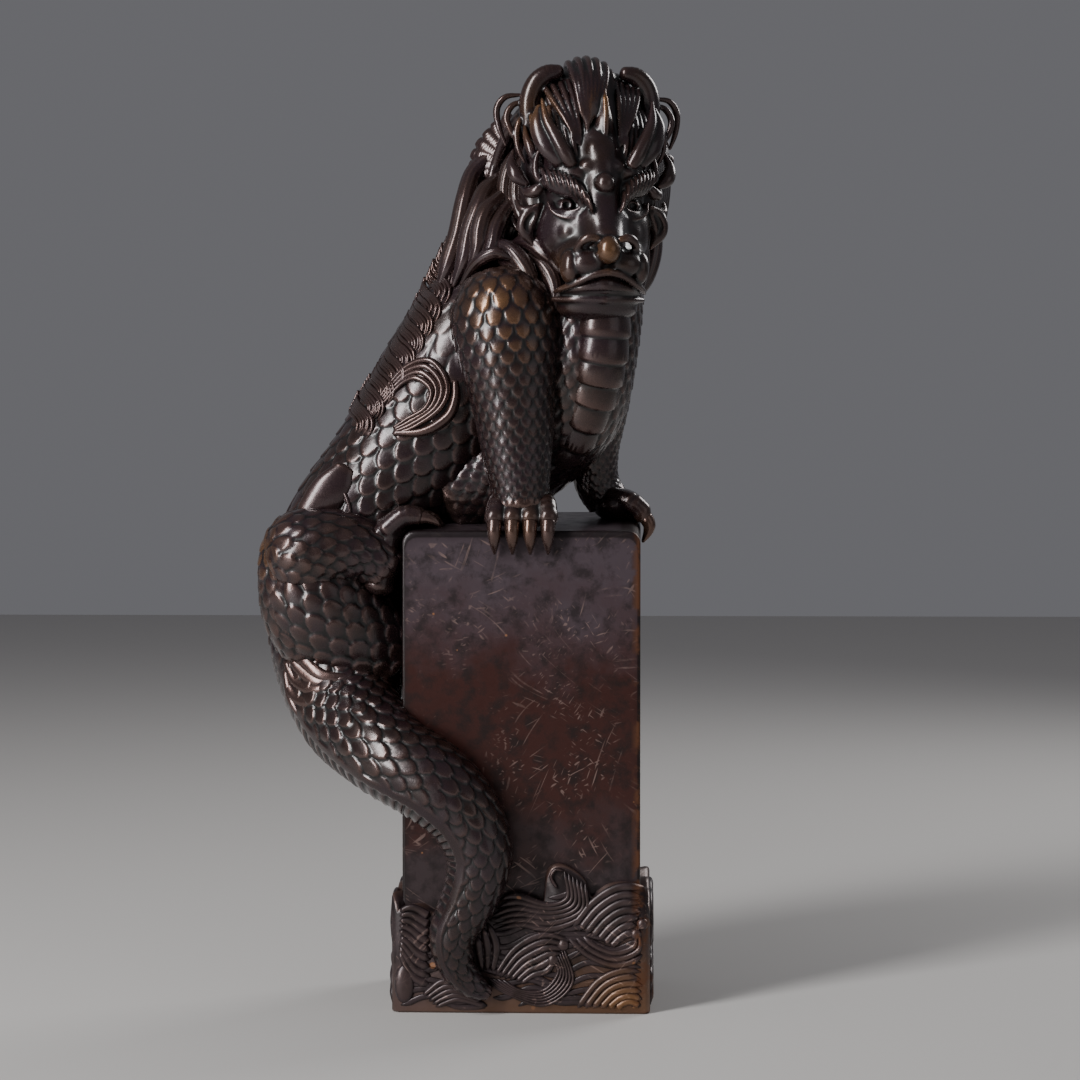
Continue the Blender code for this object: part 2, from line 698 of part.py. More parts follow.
def foot_shape(gap=0.0):
    """The foot, wider than the block all round, with its top cut to the outline of the waves."""
    rings = []
    for inset, share, lift in (
        (FOOT_BEVEL / 2, 0, -gap), (0, 0, FOOT_BEVEL / 2),
        (0, 1, gap - FOOT_BEVEL), (1.4 * FOOT_STEP, 1, gap),
    ):
        ring = []
        for face, u, v in foot_columns():
            along, normal, half, deep = face_frame(face)
            reach = half + gap - FOOT_BEVEL
            ring.append(along * u * 2 * reach * (1 - inset / half) + normal * (deep + gap - inset))
            ring[-1] = ring[-1] + np.array((0, 0, share * v * FOOT_HEIGHT + lift))
        rings.append(ring)
    rings = np.array(rings)
    start, stop = rings[0].mean(axis=0), rings[-1].mean(axis=0)
    return skin(rings, start, stop)


def bevelled(name, shape, width, segments):
    obj = mesh_object(name, [shape])
    modifier = obj.modifiers.new("edges", "BEVEL")
    modifier.width = width
    modifier.segments = segments
    modifier.limit_method = "ANGLE"
    modifier.angle_limit = math.radians(40)
    return obj


def clear_of_tail(x, z):
    """Whether a wave line on the front stays beside the tail."""
    path = curve_through(TRUNK, 60)[30:]
    tail, thick = drape(path[:, :3]), path[:, 3] * FIGURE_RISE / DRAWN_RISE
    return bool((np.hypot(tail[:, 0] - x, tail[:, 2] - z) > thick + 2 * WAVE_WIDTH).all())


def bundle(outer, inner, count, points):
    """Lines that pass from an outer curve to an inner one."""
    outer = curve_through([(*place, 0) for place in outer], points)[:, :2]
    inner = curve_through([(*place, 0) for place in inner], points)[:, :2]
    return [outer + (inner - outer) * share for share in np.linspace(0, 1, count)]


def rolling(middle, low, size, count, points):
    """A rolling wave: half rings over one another, as wide as the size."""
    lines = []
    for ring in range(count):
        reach = size * (1 - ring / count)
        angles = np.radians(np.linspace(172, 8, points))
        across = middle + 0.5 * reach * np.cos(angles)
        lines.append(np.stack([across, low + reach * np.sin(angles)], axis=1))
    return lines


def raised(line, face):
    """Ridges along the stretches of a line that lie on the face and beside the tail."""
    along, normal, half, deep = face_frame(face)
    edge, runs = half - FOOT_BEVEL - WAVE_WIDTH, [[]]
    for u, v in line * (2 * half, FOOT_HEIGHT):
        if abs(u) < edge and v > 1.3 * WAVE_WIDTH and (face or clear_of_tail(u, v)):
            runs[-1].append(along * u + normal * deep + np.array((0, 0, v)))
        else:
            runs.append([])
    shapes = []
    for run in runs:
        if len(run) < 3:
            continue
        ends = [0.4] + [1] * (len(run) - 2) + [0.4]
        rows = [(*place, WAVE_WIDTH * end, WAVE_HEIGHT * end) for place, end in zip(run, ends, strict=True)]
        shapes.append(tube(rows, normal, len(rows), 3))
    return shapes


def waves():
    """The wave lines on the four faces of the foot, plainer on the sides and the back."""
    shapes = []
    for outer, inner, count in FRONT_BUNDLES:
        for line in bundle(outer, inner, count, 9):
            shapes += raised(line, 0)
    for face in (1, 2, 3):
        lines = [line for middle in (-0.33, 0, 0.33) for line in rolling(middle, 0.03, 0.38, 3, 7)]
        lines += [line for middle in (-0.2, 0.2) for line in rolling(middle, 0.46, 0.42, 3, 7)]
        for line in lines:
            shapes += raised(line, face)
    for u, v in KNOBS:
        shapes.append(ball(on_front(u, v), (1.3 * WAVE_WIDTH, WAVE_HEIGHT, 1.3 * WAVE_WIDTH), 3, 6))
    shapes.append(ball(on_front(*FOAM), (2.6 * WAVE_WIDTH, WAVE_HEIGHT, 4.6 * WAVE_WIDTH), 4, 8))
    return shapes


def on_front(u, v):
    along, normal, half, deep = face_frame(0)
    return along * u * 2 * half + normal * deep + np.array((0, 0, v * FOOT_HEIGHT))


def make_pillar():
    pillar = bevelled("pillar", block_shape(), EDGE_BEVEL, 1)
    fuse(pillar, [foot_shape(), *waves()])
    thin_out(pillar, PILLAR_FACES)
    pillar.data.materials.append(bronze("block_bronze", BLOCK_BRONZE, 0.4))
    return pillar


def draped(shapes):
    return [(drape(points), faces) for points, faces in shapes]


def make_dragon(pillar):
    carving = draped(paws() + crest() + flank() + mane() + head())
    finer = helper(mesh_object("carving", carving[:1]))
    fuse(finer, carving[1:])
    thin_out(finer, CARVING_FACES)
    scaled = draped(body())
    dragon = mesh_object("dragon", scaled[:1])
    boolean(dragon, finer, "UNION")
    fuse(dragon, scaled[1:])
    for name, shape in (("block_room", block_shape(FIT_GAP)), ("foot_room", foot_shape(2 * FIT_GAP))):
        boolean(dragon, helper(mesh_object(name, [shape])), "DIFFERENCE")
    # The foot's thinned skin swells past its room in a few places, which are cut away too.
    boolean(dragon, pillar, "DIFFERENCE")
    settle(dragon)
    dragon.data.materials.append(bronze("dragon_bronze", BRONZE, 0.35))
    return dragon


def main():
    clear_scene()
    pillar = make_pillar()
    for obj in (pillar, make_dragon(pillar)):
        obj.data.shade_smooth()
        obj.data.set_sharp_from_angle(angle=math.radians(45))


main()
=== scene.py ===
"""A cast bronze dragon over the side of a tall bronze block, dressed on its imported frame.

Lengths inside the functions are drawn millimetres, and each mesh is scaled to metres at the end.
"""

import math

import bpy
import numpy as np
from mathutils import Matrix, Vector


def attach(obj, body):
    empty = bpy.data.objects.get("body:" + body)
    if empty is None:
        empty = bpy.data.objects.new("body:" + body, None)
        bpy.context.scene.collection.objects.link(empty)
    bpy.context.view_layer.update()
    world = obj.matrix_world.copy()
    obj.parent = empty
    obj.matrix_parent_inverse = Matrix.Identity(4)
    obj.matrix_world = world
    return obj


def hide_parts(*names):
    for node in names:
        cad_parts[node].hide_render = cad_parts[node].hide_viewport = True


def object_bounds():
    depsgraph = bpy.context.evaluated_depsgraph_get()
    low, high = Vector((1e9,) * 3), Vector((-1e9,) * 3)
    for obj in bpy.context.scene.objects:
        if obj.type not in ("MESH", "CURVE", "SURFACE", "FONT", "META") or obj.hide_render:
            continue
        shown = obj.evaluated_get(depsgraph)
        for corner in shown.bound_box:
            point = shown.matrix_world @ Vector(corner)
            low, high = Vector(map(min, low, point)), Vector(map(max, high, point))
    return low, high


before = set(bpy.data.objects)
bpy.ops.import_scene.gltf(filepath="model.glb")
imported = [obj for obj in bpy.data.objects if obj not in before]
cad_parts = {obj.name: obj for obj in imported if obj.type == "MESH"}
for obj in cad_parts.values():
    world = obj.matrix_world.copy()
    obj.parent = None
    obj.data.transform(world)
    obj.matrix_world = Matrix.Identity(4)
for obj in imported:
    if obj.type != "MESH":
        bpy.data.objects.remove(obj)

bl_info = {
    "name": "Bronze Dragon Statue",
    "version": (1, 0, 0),
    "blender": (4, 5, 0),
    "location": "View3D > Sidebar > Statue",
    "description": "Casts the surface of a bronze dragon and its block on a fixed frame",
    "category": "Object",
}

CAD_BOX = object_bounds()
MM = 0.001

# The block and its foot.
BLOCK_WIDTH = 100.5
BLOCK_DEPTH = 75.0
BLOCK_HEIGHT = 203.0
TOP_RISE = 7.0
TOP_ROUND = 5.0
EDGE_BEVEL = 1.2
FOOT_STEP = 4.2
FOOT_HEIGHT = 53.0
FOOT_BEVEL = 2.2
WAVE_HEIGHT = 2.1
WAVE_WIDTH = 1.8

# Rows are a place and a radius along the body, from the neck to the tip of the tail.
TRUNK = [
    (15.0, 11, 340, 19), (-3, 11, 312, 28), (-20, 8, 281, 34.5), (-39, 7, 250, 34),
    (-57, 5, 226, 30.5), (-76, 4, 200, 29), (-81, 3, 172, 30), (-80, -4, 146, 28),
    (-74, -19, 125, 22), (-57, -40, 110, 18), (-37, -47, 98, 17), (-23, -48, 84, 15),
    (-17, -48, 67, 13), (-21, -48, 50, 11), (-28, -48, 35, 9), (-27, -47, 22, 7),
    (-20, -46, 13, 5), (-13, -45.5, 9, 2),
]
# The direction of the spine at each row of the trunk.
SPINE = [
    (-0.5, 0.8, 0.3), (-0.75, 0.6, 0.3), (-0.8, 0.5, 0.35), (-0.85, 0.35, 0.4),
    (-0.9, 0.3, 0.35), (-1, 0.2, 0.15), (-1, 0.1, 0), (-1, 0, -0.2),
    (-0.8, -0.2, -0.5), (-0.6, -0.3, -0.75), (-0.55, -0.35, -0.75), (-0.8, -0.35, -0.6),
    (-0.95, -0.35, 0), (-0.9, -0.35, 0.3), (-0.93, -0.35, 0.2), (-0.93, -0.35, -0.1),
    (-0.6, -0.35, -0.75), (-0.5, -0.35, -0.8),
]
CHEST = [
    (31, -9, 330, 18), (29, -12, 306, 22), (26, -13, 280, 22.5), (21, -8, 257, 22),
    (9, 0, 241, 20), (-12, 5, 230, 24), (-34, 5, 219, 23),
]
BELLY = [
    (35, -22, 322, 9, 9), (35, -29, 300, 11, 10), (34, -29, 281, 11, 10),
    (31, -25, 266, 11, 10), (26, -20, 252, 10, 10), (19, -12, 240, 9, 10), (8, -2, 231, 7, 9),
]
NEAR_ARM = [
    (-9, -18, 306, 18), (-7, -24, 294, 23), (-5.5, -27, 279, 21.5), (-3.5, -29, 258, 17.5),
    (-2, -30, 237, 14.5), (-0.5, -31, 220, 12), (0, -32, 212, 11),
]
FAR_ARM = [
    (33, 1, 303, 15), (33, 5, 281, 15), (32.5, 7, 259, 12.5), (30, 9, 238, 10.5),
    (31, 11, 224, 9.5), (36, 12, 215, 9),
]
THIGH = [
    (-62, -6, 146, 20), (-74, -13, 158, 23), (-86, -18.5, 171, 23.5), (-94, -21.5, 182, 20),
    (-98, -22.5, 190, 12), (-99, -23, 194, 4),
]
SHIN = [
    (-107, -22, 187, 4), (-104, -22, 188, 12), (-99, -23.5, 190, 17.5), (-91, -25.5, 192.5, 19.5),
    (-77, -27, 195, 16), (-65, -27, 192, 12.5), (-57, -27, 185, 9.5),
]
KNEE = [
    (-96, -24, 205, 6), (-99, -25, 197, 11), (-99.5, -25, 188, 12.6), (-98.5, -24, 177, 13.6),
    (-96, -22, 166, 14), (-90, -18, 155, 14),
]
# Where the toes lie along the block's edges: the near forepaw's, the far one's and the hind foot's.
NEAR_TOES_AT = (-11, -3.5, 4, 11.5)
FAR_TOES_AT = (0, 7, 14, 21)
HIND_TOES_AT = (-33, -25, -17)
HEAD_AT = (28.8, -20, 341.7)
HEAD_TURN = 14
# About how long the trunk is along its middle, its widest radii and the share of it that is torso.
TRUNK_LENGTH = 500
TORSO_RADIUS = 33
TAIL_RADIUS = 26
TORSO_SHARE = 0.50

# The room between rows of scales, as a share of a scale's width. Then, in rows, where a scale
# starts to narrow, how long its round end is and how far it reaches.
ROW_PITCH = 0.68
ROUND_FROM = 0.62
ROUND_LENGTH = 0.94
SCALE_REACH = 1.58

# The waves on the front, as shares of the foot's width from its middle and of its height.
FRONT_SKYLINE = [
    (-0.5, 0.83), (-0.43, 0.87), (-0.35, 0.80), (-0.14, 0.84), (-0.08, 0.91), (-0.02, 0.94),
    (0.04, 0.91), (0.09, 0.88), (0.11, 1.12), (0.15, 1.19), (0.20, 1.17), (0.26, 1.08),
    (0.29, 0.94), (0.33, 0.97), (0.38, 1.03), (0.44, 1.05), (0.5, 1.03),
]
# A bundle is an outer curve, an inner curve and the count of lines that pass from one to the other.
FRONT_BUNDLES = [
    (
        [(0.22, 0.05), (0.30, 0.26), (0.40, 0.35), (0.50, 0.33)],
        [(0.37, 0.05), (0.40, 0.09), (0.43, 0.10), (0.46, 0.07)], 6,
    ),
    (
        [(-0.10, 0.30), (-0.02, 0.52), (0.09, 0.63), (0.20, 0.58)],
        [(0.00, 0.24), (0.05, 0.31), (0.10, 0.34), (0.13, 0.42)], 6,
    ),
    (
        [(-0.17, 0.30), (-0.06, 0.17), (0.09, 0.07), (0.20, 0.25), (0.165, 0.54)],
        [(-0.07, 0.27), (0.00, 0.19), (0.09, 0.19), (0.145, 0.33), (0.126, 0.44)], 6,
    ),
    (
        [(0.20, 0.69), (0.28, 0.89), (0.38, 1.01), (0.49, 1.00)],
        [(0.35, 0.54), (0.38, 0.60), (0.41, 0.64), (0.44, 0.65)], 7,
    ),
    (
        [(0.18, 0.62), (0.26, 0.47), (0.37, 0.39), (0.47, 0.48), (0.47, 0.70)],
        [(0.24, 0.62), (0.30, 0.53), (0.37, 0.49), (0.44, 0.55), (0.44, 0.68)], 3,
    ),
    (
        [(-0.13, 0.84), (-0.03, 0.94), (0.10, 0.87), (0.18, 0.93), (0.17, 1.14)],
        [(-0.10, 0.67), (0.00, 0.71), (0.13, 0.68), (0.25, 0.81), (0.25, 1.04)], 6,
    ),
    (
        [(-0.146, 0.79), (-0.095, 0.55), (-0.11, 0.32)],
        [(-0.17, 0.73), (-0.20, 0.57), (-0.17, 0.36)], 4,
    ),
    (
        [(-0.48, 0.80), (-0.42, 0.84), (-0.35, 0.77)],
        [(-0.48, 0.54), (-0.42, 0.30), (-0.35, 0.22)], 9,
    ),
    (
        [(-0.38, 0.14), (-0.30, 0.25), (-0.22, 0.18)],
        [(-0.33, 0.05), (-0.24, 0.11), (-0.13, 0.06)], 5,
    ),
    (
        [(0.17, 1.14), (0.135, 1.15), (0.118, 1.09), (0.142, 1.00)],
        [(0.17, 1.14), (0.135, 1.15), (0.118, 1.09), (0.142, 1.00)], 1,
    ),
]

# The outline of the back on the near side, across and up, from the nape to the hips.
CREST_EDGE = [(-31, 333), (-41, 314), (-52.5, 289.5), (-61.5, 275.5), (-69.5, 264.5), (-77, 252)]

# The room between clumps of the crest, and between the locks of a clump.
CLUMP_GAP = 8.2
LOCK_GAP = 1.4

# How many points out the surroundings reach, and the height over them that is fully worn.
WEAR_REACH = 6
WEAR_HEIGHT = 0.35

# The most triangles of each piece.
MOST_TRIANGLES = {
    "block": 178000, "head": 185000, "mane": 134000, "torso": 143000, "tail": 100000, "chest": 65000,
    "forelegs": 85000, "hindlegs": 105000,
}

# Places that hands have rubbed down to the brass, each with its reach.
RUBBED = [
    (38, -57, 319, 6, 0.6), (18, -46, 312, 6, 0.5), (5, -36, 378, 9, 0.5), (36, -40, 383, 7, 0.5),
    (-10, -48, 300, 12, 0.35), (-2, -52, 288, 14, 0.25), (-106, -26, 194, 12, 0.4), (0, -46, 204, 9, 0.1),
    (52, 10, 203, 11, 0.3), (45, -43, 4, 14, 0.4),
]


def linear(hexcode):
    """An sRGB hex colour as linear red, green, blue and full alpha."""
    shares = [int(hexcode[at : at + 2], 16) / 255 for at in (1, 3, 5)]
    return (*[s / 12.92 if s <= 0.04045 else ((s + 0.055) / 1.055) ** 2.4 for s in shares], 1.0)


def unit(vectors):
    return vectors / np.linalg.norm(vectors, axis=-1, keepdims=True)


def curve_through(rows, count):
    """count rows, evenly spaced along a smooth curve through the rows given."""
    rows = np.asarray(rows, float)
    ends = np.vstack([2 * rows[0] - rows[1], rows, 2 * rows[-1] - rows[-2]])
    t = np.linspace(0, 1, 16, endpoint=False)[:, None]
    fine = [
        b + t * ((c - a) / 2 + t * (a - 2.5 * b + 2 * c - d / 2 + t * (1.5 * (b - c) + (d - a) / 2)))
        for a, b, c, d in zip(ends, ends[1:], ends[2:], ends[3:], strict=False)
    ]
    fine = np.vstack([*fine, rows[-1:]])
    step = np.linalg.norm(np.diff(fine[:, :3], axis=0), axis=1)
    run = np.concatenate([[0], np.cumsum(step)])
    at = np.linspace(0, run[-1], count)
    return np.stack([np.interp(at, run, column) for column in fine.T], axis=1)


def limb_frame(rows, out, rings):
    """Along a limb: its middle, half width, half thickness, way ahead, way out and way across."""
    rows = [row if len(row) == 5 else (*row, row[3]) for row in rows]
    out = np.broadcast_to(out, (len(rows), 3))
    path = curve_through(np.hstack([rows, out]), rings)
    middle, wide, thick = path[:, :3], path[:, 3:4], path[:, 4:5]
    ahead = unit(np.gradient(middle, axis=0))
    across = unit(np.cross(ahead, path[:, 5:]))
    outward = np.cross(across, ahead)
    return middle, wide, thick, ahead, outward, across


def ring_faces(count, sides):
    """Faces between rings of points, each joined to the next."""
    at = np.arange(count - 1)[:, None] * sides + np.arange(sides)[None, :]
    after = np.arange(count - 1)[:, None] * sides + (np.arange(sides)[None, :] + 1) % sides
    return np.stack([at, after, after + sides, at + sides], axis=2).reshape(-1, 4).tolist()


def tube(rows, out, rings, sides, relief=None, start=0.0, stop=1.0):
    """A tapering limb from one share of its length to another, with relief in millimetres."""
    middle, wide, thick, ahead, outward, across = limb_frame(rows, out, rings)
    step = np.linalg.norm(np.diff(middle, axis=0), axis=1)
    run = np.concatenate([[0], np.cumsum(step)])
    angle = np.arange(sides) * (2 * math.pi / sides)
    radius = (wide[:, 0] + thick[:, 0]) / 2
    rise = relief(run, angle, radius) if relief else np.zeros((rings, sides))
    ring = (
        middle[:, None]
        + ((thick + rise) * np.cos(angle))[..., None] * outward[:, None]
        + ((wide + rise) * np.sin(angle))[..., None] * across[:, None]
    )
    first, last = round(start * (rings - 1)), round(stop * (rings - 1)) + 1
    ring = ring[first:last]
    count = len(ring)
    points = ring.reshape(-1, 3)
    faces = ring_faces(count, sides)
    ends = []
    if start == 0:
        ends.append((middle[0] - ahead[0] * thick[0] * 0.5, 0, True))
    if stop == 1:
        ends.append((middle[-1] + ahead[-1] * thick[-1] * 0.5, (count - 1) * sides, False))
    for pole, base, turned in ends:
        points = np.vstack([points, pole])
        tip = len(points) - 1
        for side in range(sides):
            pair = (base + side, base + (side + 1) % sides)
            faces.append((tip, pair[1], pair[0]) if turned else (pair[0], pair[1], tip))
    return points, faces


def mirrored(shape, axis):
    """A shape turned over across one axis, with its faces still outward."""
    points, faces = shape
    points = points.copy()
    points[:, axis] *= -1
    return points, [face[::-1] for face in faces]


def scale_rows(run, radius, size):
    """How many rows of scales lie before each place."""
    pitch = ROW_PITCH * size(radius)
    steps = np.diff(run) / ((pitch[1:] + pitch[:-1]) / 2)
    return np.concatenate([[0], np.cumsum(steps)])


def scales(size, height, dome, keep=None):
    """Relief of round scales that overlap in staggered rows. Their free edges point to the limb's tip."""

    def relief(run, angle, radius):
        place = scale_rows(run, radius, size)
        order = np.argsort(place)
        best = np.zeros((len(run), len(angle)))
        for back in (0, 1):
            row = np.floor(place) - back
            ahead = place - row
            at_row = np.interp(row, place[order], radius[order])
            around = np.maximum(6, 2 * np.round(math.pi * at_row / size(at_row)))
            turn = angle[None, :] / (2 * math.pi) * around[:, None] + 0.5 * (row % 2)[:, None]
            side = (turn - np.round(turn)) * 2
            round_end = np.clip((ahead - ROUND_FROM) / ROUND_LENGTH, 0, 1)
            half = np.sqrt(1 - round_end**2)[:, None]
            rise = (0.30 + 0.70 * ahead / SCALE_REACH)[:, None]
            edge = np.clip((half - np.abs(side)) * 7, 0, 1)
            hump = 1 - dome * (side**2) - 0.8 * dome * ((ahead - 1.0)[:, None] ** 2)
            best = np.maximum(best, np.where(ahead[:, None] < SCALE_REACH, rise * hump * edge, 0))
        thick = height * size(radius)[:, None]
        if keep is None:
            return best * thick
        share = keep(run / run[-1], angle)
        return (best * share + 0.45 * (1 - share)) * thick

    return relief


def plates(pitch, height):
    """Relief of plates that overlap across a belly."""

    def relief(run, angle, radius):
        ahead = (run / pitch) % 1
        rise = (ahead**0.7 * np.clip((1 - ahead) * 8, 0, 1))[:, None]
        return height * rise * np.ones(len(angle))[None, :]

    return relief


class Clay:
    """A block of clay, in millimetres: how far each point of a grid is from the surface."""

    def __init__(self, low, high, step):
        self.low = np.array(low, float)
        self.step = step
        self.shape = np.ceil((np.array(high) - self.low) / step).astype(int) + 1
        self.field = np.full(self.shape, 9.0, np.float32)

    def press(self, centre, radii, axes=None, soft=1.0, cut=False):
        """Adds an ellipsoid, blended over the soft length, or cuts it out."""
        centre = np.asarray(centre, float)
        radii = np.broadcast_to(np.asarray(radii, float), (3,))
        axes = np.eye(3) if axes is None else axes
        reach = np.sqrt(((axes * radii[:, None]) ** 2).sum(axis=0)) + soft + 2 * self.step
        first = np.maximum(((centre - reach - self.low) / self.step).astype(int), 0)
        last = np.minimum(((centre + reach - self.low) / self.step).astype(int) + 2, self.shape)
        if (last <= first).any():
            return
        x, y, z = (self.low[a] + self.step * np.arange(first[a], last[a]) - centre[a] for a in range(3))
        near, far = 0, 0
        for axis, radius in zip(axes, radii, strict=True):
            along = x[:, None, None] * axis[0] + y[None, :, None] * axis[1] + z[None, None, :] * axis[2]
            near = near + (along / radius) ** 2
            far = far + (along / radius**2) ** 2
        near = np.sqrt(near)
        away = (near * (near - 1) / np.maximum(np.sqrt(far), 1e-6)).astype(np.float32)
        box = tuple(slice(a, b) for a, b in zip(first, last, strict=True))
        here = self.field[box]
        if cut:
            share = np.clip(0.5 - 0.5 * (here + away) / soft, 0, 1)
            self.field[box] = here + (-away - here) * share + soft * share * (1 - share)
        else:
            share = np.clip(0.5 + 0.5 * (here - away) / soft, 0, 1)
            self.field[box] = here + (away - here) * share - soft * share * (1 - share)

    def ball(self, centre, radii, soft=1.0, cut=False, pair=False):
        self.press(centre, radii, soft=soft, cut=cut)
        if pair:
            self.press((-centre[0], *centre[1:]), radii, soft=soft, cut=cut)

    def stroke(self, rows, out=(0, -1, 0), soft=0.5, cut=False, pair=False):
        """A rope of clay through rows of place, half width and half thickness."""
        rows = np.array([row if len(row) == 5 else (*row, row[3]) for row in rows], float)
        length = np.linalg.norm(np.diff(rows[:, :3], axis=0), axis=1).sum()
        beads = max(4, int(length / max(0.45 * rows[:, 3:].min(), 0.55)))
        for side in (1, -1) if pair else (1,):
            flip = np.array([side, 1, 1])
            turned = rows.copy()
            turned[:, :3] *= flip
            middle, wide, thick, ahead, outward, across = limb_frame(turned, np.array(out) * flip, beads)
            gap = length / beads
            for bead in range(beads):
                axes = np.stack([across[bead], outward[bead], ahead[bead]])
                radii = (wide[bead, 0], thick[bead, 0], max(1.6 * gap, 0.7 * thick[bead, 0]))
                self.press(middle[bead], np.maximum(radii, 0.3), axes, soft, cut)

    def surface(self):
        """Points and faces of the clay's skin: one point in each cell that the skin passes through."""
        field = self.field
        field[[0, -1]] = field[:, [0, -1]] = field[:, :, [0, -1]] = 5.0
        inside = field < 0
        size = np.array(field.shape) - 1
        corners = [(i, j, k) for i in (0, 1) for j in (0, 1) for k in (0, 1)]
        count = np.zeros(size, np.int8)
        for i, j, k in corners:
            count += inside[i : i + size[0], j : j + size[1], k : k + size[2]]
        cells = np.argwhere((count > 0) & (count < 8))
        number = np.full(size, -1, np.int64)
        number[tuple(cells.T)] = np.arange(len(cells))
        values = np.stack([field[tuple((cells + corner).T)] for corner in corners], axis=1)
        total, crossings = np.zeros((len(cells), 3)), np.zeros((len(cells), 1))
        for one in range(8):
            for bit in (1, 2, 4):
                other = one | bit
                if other == one:
                    continue
                a, b = values[:, one], values[:, other]
                crossed = ((a < 0) != (b < 0))[:, None]
                share = (a / np.where(a == b, 1, a - b))[:, None]
                start, end = np.array(corners[one]), np.array(corners[other])
                total += np.where(crossed, start + share * (end - start), 0)
                crossings += crossed
        points = self.low + self.step * (cells + total / crossings)
        faces = []
        for axis in range(3):
            lower = [slice(1, s) for s in size]
            lower[axis] = slice(0, size[axis])
            upper = list(lower)
            upper[axis] = slice(1, size[axis] + 1)
            now, then = inside[tuple(lower)], inside[tuple(upper)]
            offset = np.array([1, 1, 1])
            offset[axis] = 0
            one, two = (axis + 1) % 3, (axis + 2) % 3
            for crossed, order in ((now & ~then, (0, 1, 2, 3)), (~now & then, (3, 2, 1, 0))):
                at = np.argwhere(crossed) + offset
                step_one, step_two = np.eye(3, dtype=int)[one], np.eye(3, dtype=int)[two]
                around = [at - step_one - step_two, at - step_two, at, at - step_one]
                faces.append(np.stack([number[tuple(around[corner].T)] for corner in order], axis=1))
        return points, np.vstack(faces)


def mesh_object(name, shapes):
    """One object, in metres, that holds every shape given in millimetres."""
    points, faces, start = [], [], 0
    for places, corners in shapes:
        points.append(places)
        if isinstance(corners, np.ndarray):
            faces += (corners + start).tolist()
        else:
            faces += [[corner + start for corner in face] for face in corners]
        start += len(places)
    mesh = bpy.data.meshes.new(name)
    mesh.from_pydata((np.vstack(points) * MM).tolist(), [], faces)
    mesh.update()
    obj = bpy.data.objects.new(name, mesh)
    bpy.context.scene.collection.objects.link(obj)
    mesh.shade_smooth()
    return obj


def inside_box(mesh):
    """Brings every point inside the solid frame's box."""
    places = np.empty(len(mesh.vertices) * 3)
    mesh.vertices.foreach_get("co", places)
    low, high = CAD_BOX
    places = np.clip(places.reshape(-1, 3), np.array(low) + 1e-5, np.array(high) - 1e-5)
    mesh.vertices.foreach_set("co", places.ravel())
    return places


def note_wear(obj):
    """Writes how far each point stands proud of its surroundings, and how much hands have rubbed it."""
    mesh = obj.data
    places = inside_box(mesh) / MM
    normals = np.empty(len(mesh.vertices) * 3)
    mesh.vertices.foreach_get("normal", normals)
    edges = np.empty(len(mesh.edges) * 2, int)
    mesh.edges.foreach_get("vertices", edges)
    edges = edges.reshape(-1, 2)
    total = len(places)
    degree = np.maximum(np.bincount(edges.ravel(), minlength=total), 1)
    soft = places.copy()
    for _ in range(WEAR_REACH):
        for axis in range(3):
            mean = np.bincount(edges[:, 0], soft[edges[:, 1], axis], total)
            mean += np.bincount(edges[:, 1], soft[edges[:, 0], axis], total)
            soft[:, axis] = mean / degree
    proud = ((places - soft) * normals.reshape(-1, 3)).sum(axis=1) / WEAR_HEIGHT
    rubbed = np.zeros(total)
    for x, y, z, reach_mm, share in RUBBED:
        away = np.linalg.norm(places - (x, y, z), axis=1) / reach_mm
        rubbed = np.maximum(rubbed, share * np.exp(-(away**2)))
    for name, values in (("proud", np.clip(0.5 + 0.5 * proud, 0, 1)), ("rubbed", rubbed)):
        layer = mesh.attributes.new(name, "FLOAT", "POINT")
        layer.data.foreach_set("value", values.astype(np.float32))


def add_node(tree, kind, settings=None, **links):
    """Adds a node, with its settings and with a value or a socket for each input, by name or as i0, i1."""
    node = tree.nodes.new(kind)
    for key, value in (settings or {}).items():
        setattr(node, key, value)
    for key, value in links.items():
        numbered = key[0] == "i" and key[1:].isdigit()
        socket = node.inputs[int(key[1:]) if numbered else key.replace("_", " ")]
        if isinstance(value, bpy.types.NodeSocket):
            tree.links.new(value, socket)
        else:
            socket.default_value = value
    return node


def new_material(name):
    """A material and its empty node tree."""
    material = bpy.data.materials.new(name)
    material.use_nodes = True
    tree = material.node_tree
    tree.nodes.clear()
    return material, tree


def share_of(tree, value, low, high, bottom=0.0, top=1.0):
    """A value's place between low and high, from bottom to top."""
    node = add_node(tree, "ShaderNodeMapRange", None, Value=value)
    for key, number in (("From Min", low), ("From Max", high), ("To Min", bottom), ("To Max", top)):
        node.inputs[key].default_value = number
    return node.outputs["Result"]


def maths(tree, operation, *values):
    """The result of an operation on two or three sockets or numbers."""
    links = {f"i{at}": value for at, value in enumerate(values)}
    return add_node(tree, "ShaderNodeMath", {"operation": operation}, **links).outputs[0]


def noise(tree, place, size, detail, roughness=0.5):
    """Noise in clouds of about this size, in metres."""
    settings = {"Scale": 1 / size, "Detail": detail, "Roughness": roughness}
    return add_node(tree, "ShaderNodeTexNoise", None, Vector=place, **settings).outputs["Fac"]


def noted(tree, name):
    """What was written at each point under this name."""
    return add_node(tree, "ShaderNodeAttribute", {"attribute_name": name}).outputs["Fac"]


def blend(tree, share, one, two):
    """A colour between one and two, by share."""
    node = tree.nodes.new("ShaderNodeMix")
    node.data_type = "RGBA"
    for at, value in ((0, share), (6, one), (7, two)):
        if isinstance(value, bpy.types.NodeSocket):
            tree.links.new(value, node.inputs[at])
        else:
            node.inputs[at].default_value = value
    return node.outputs[2]


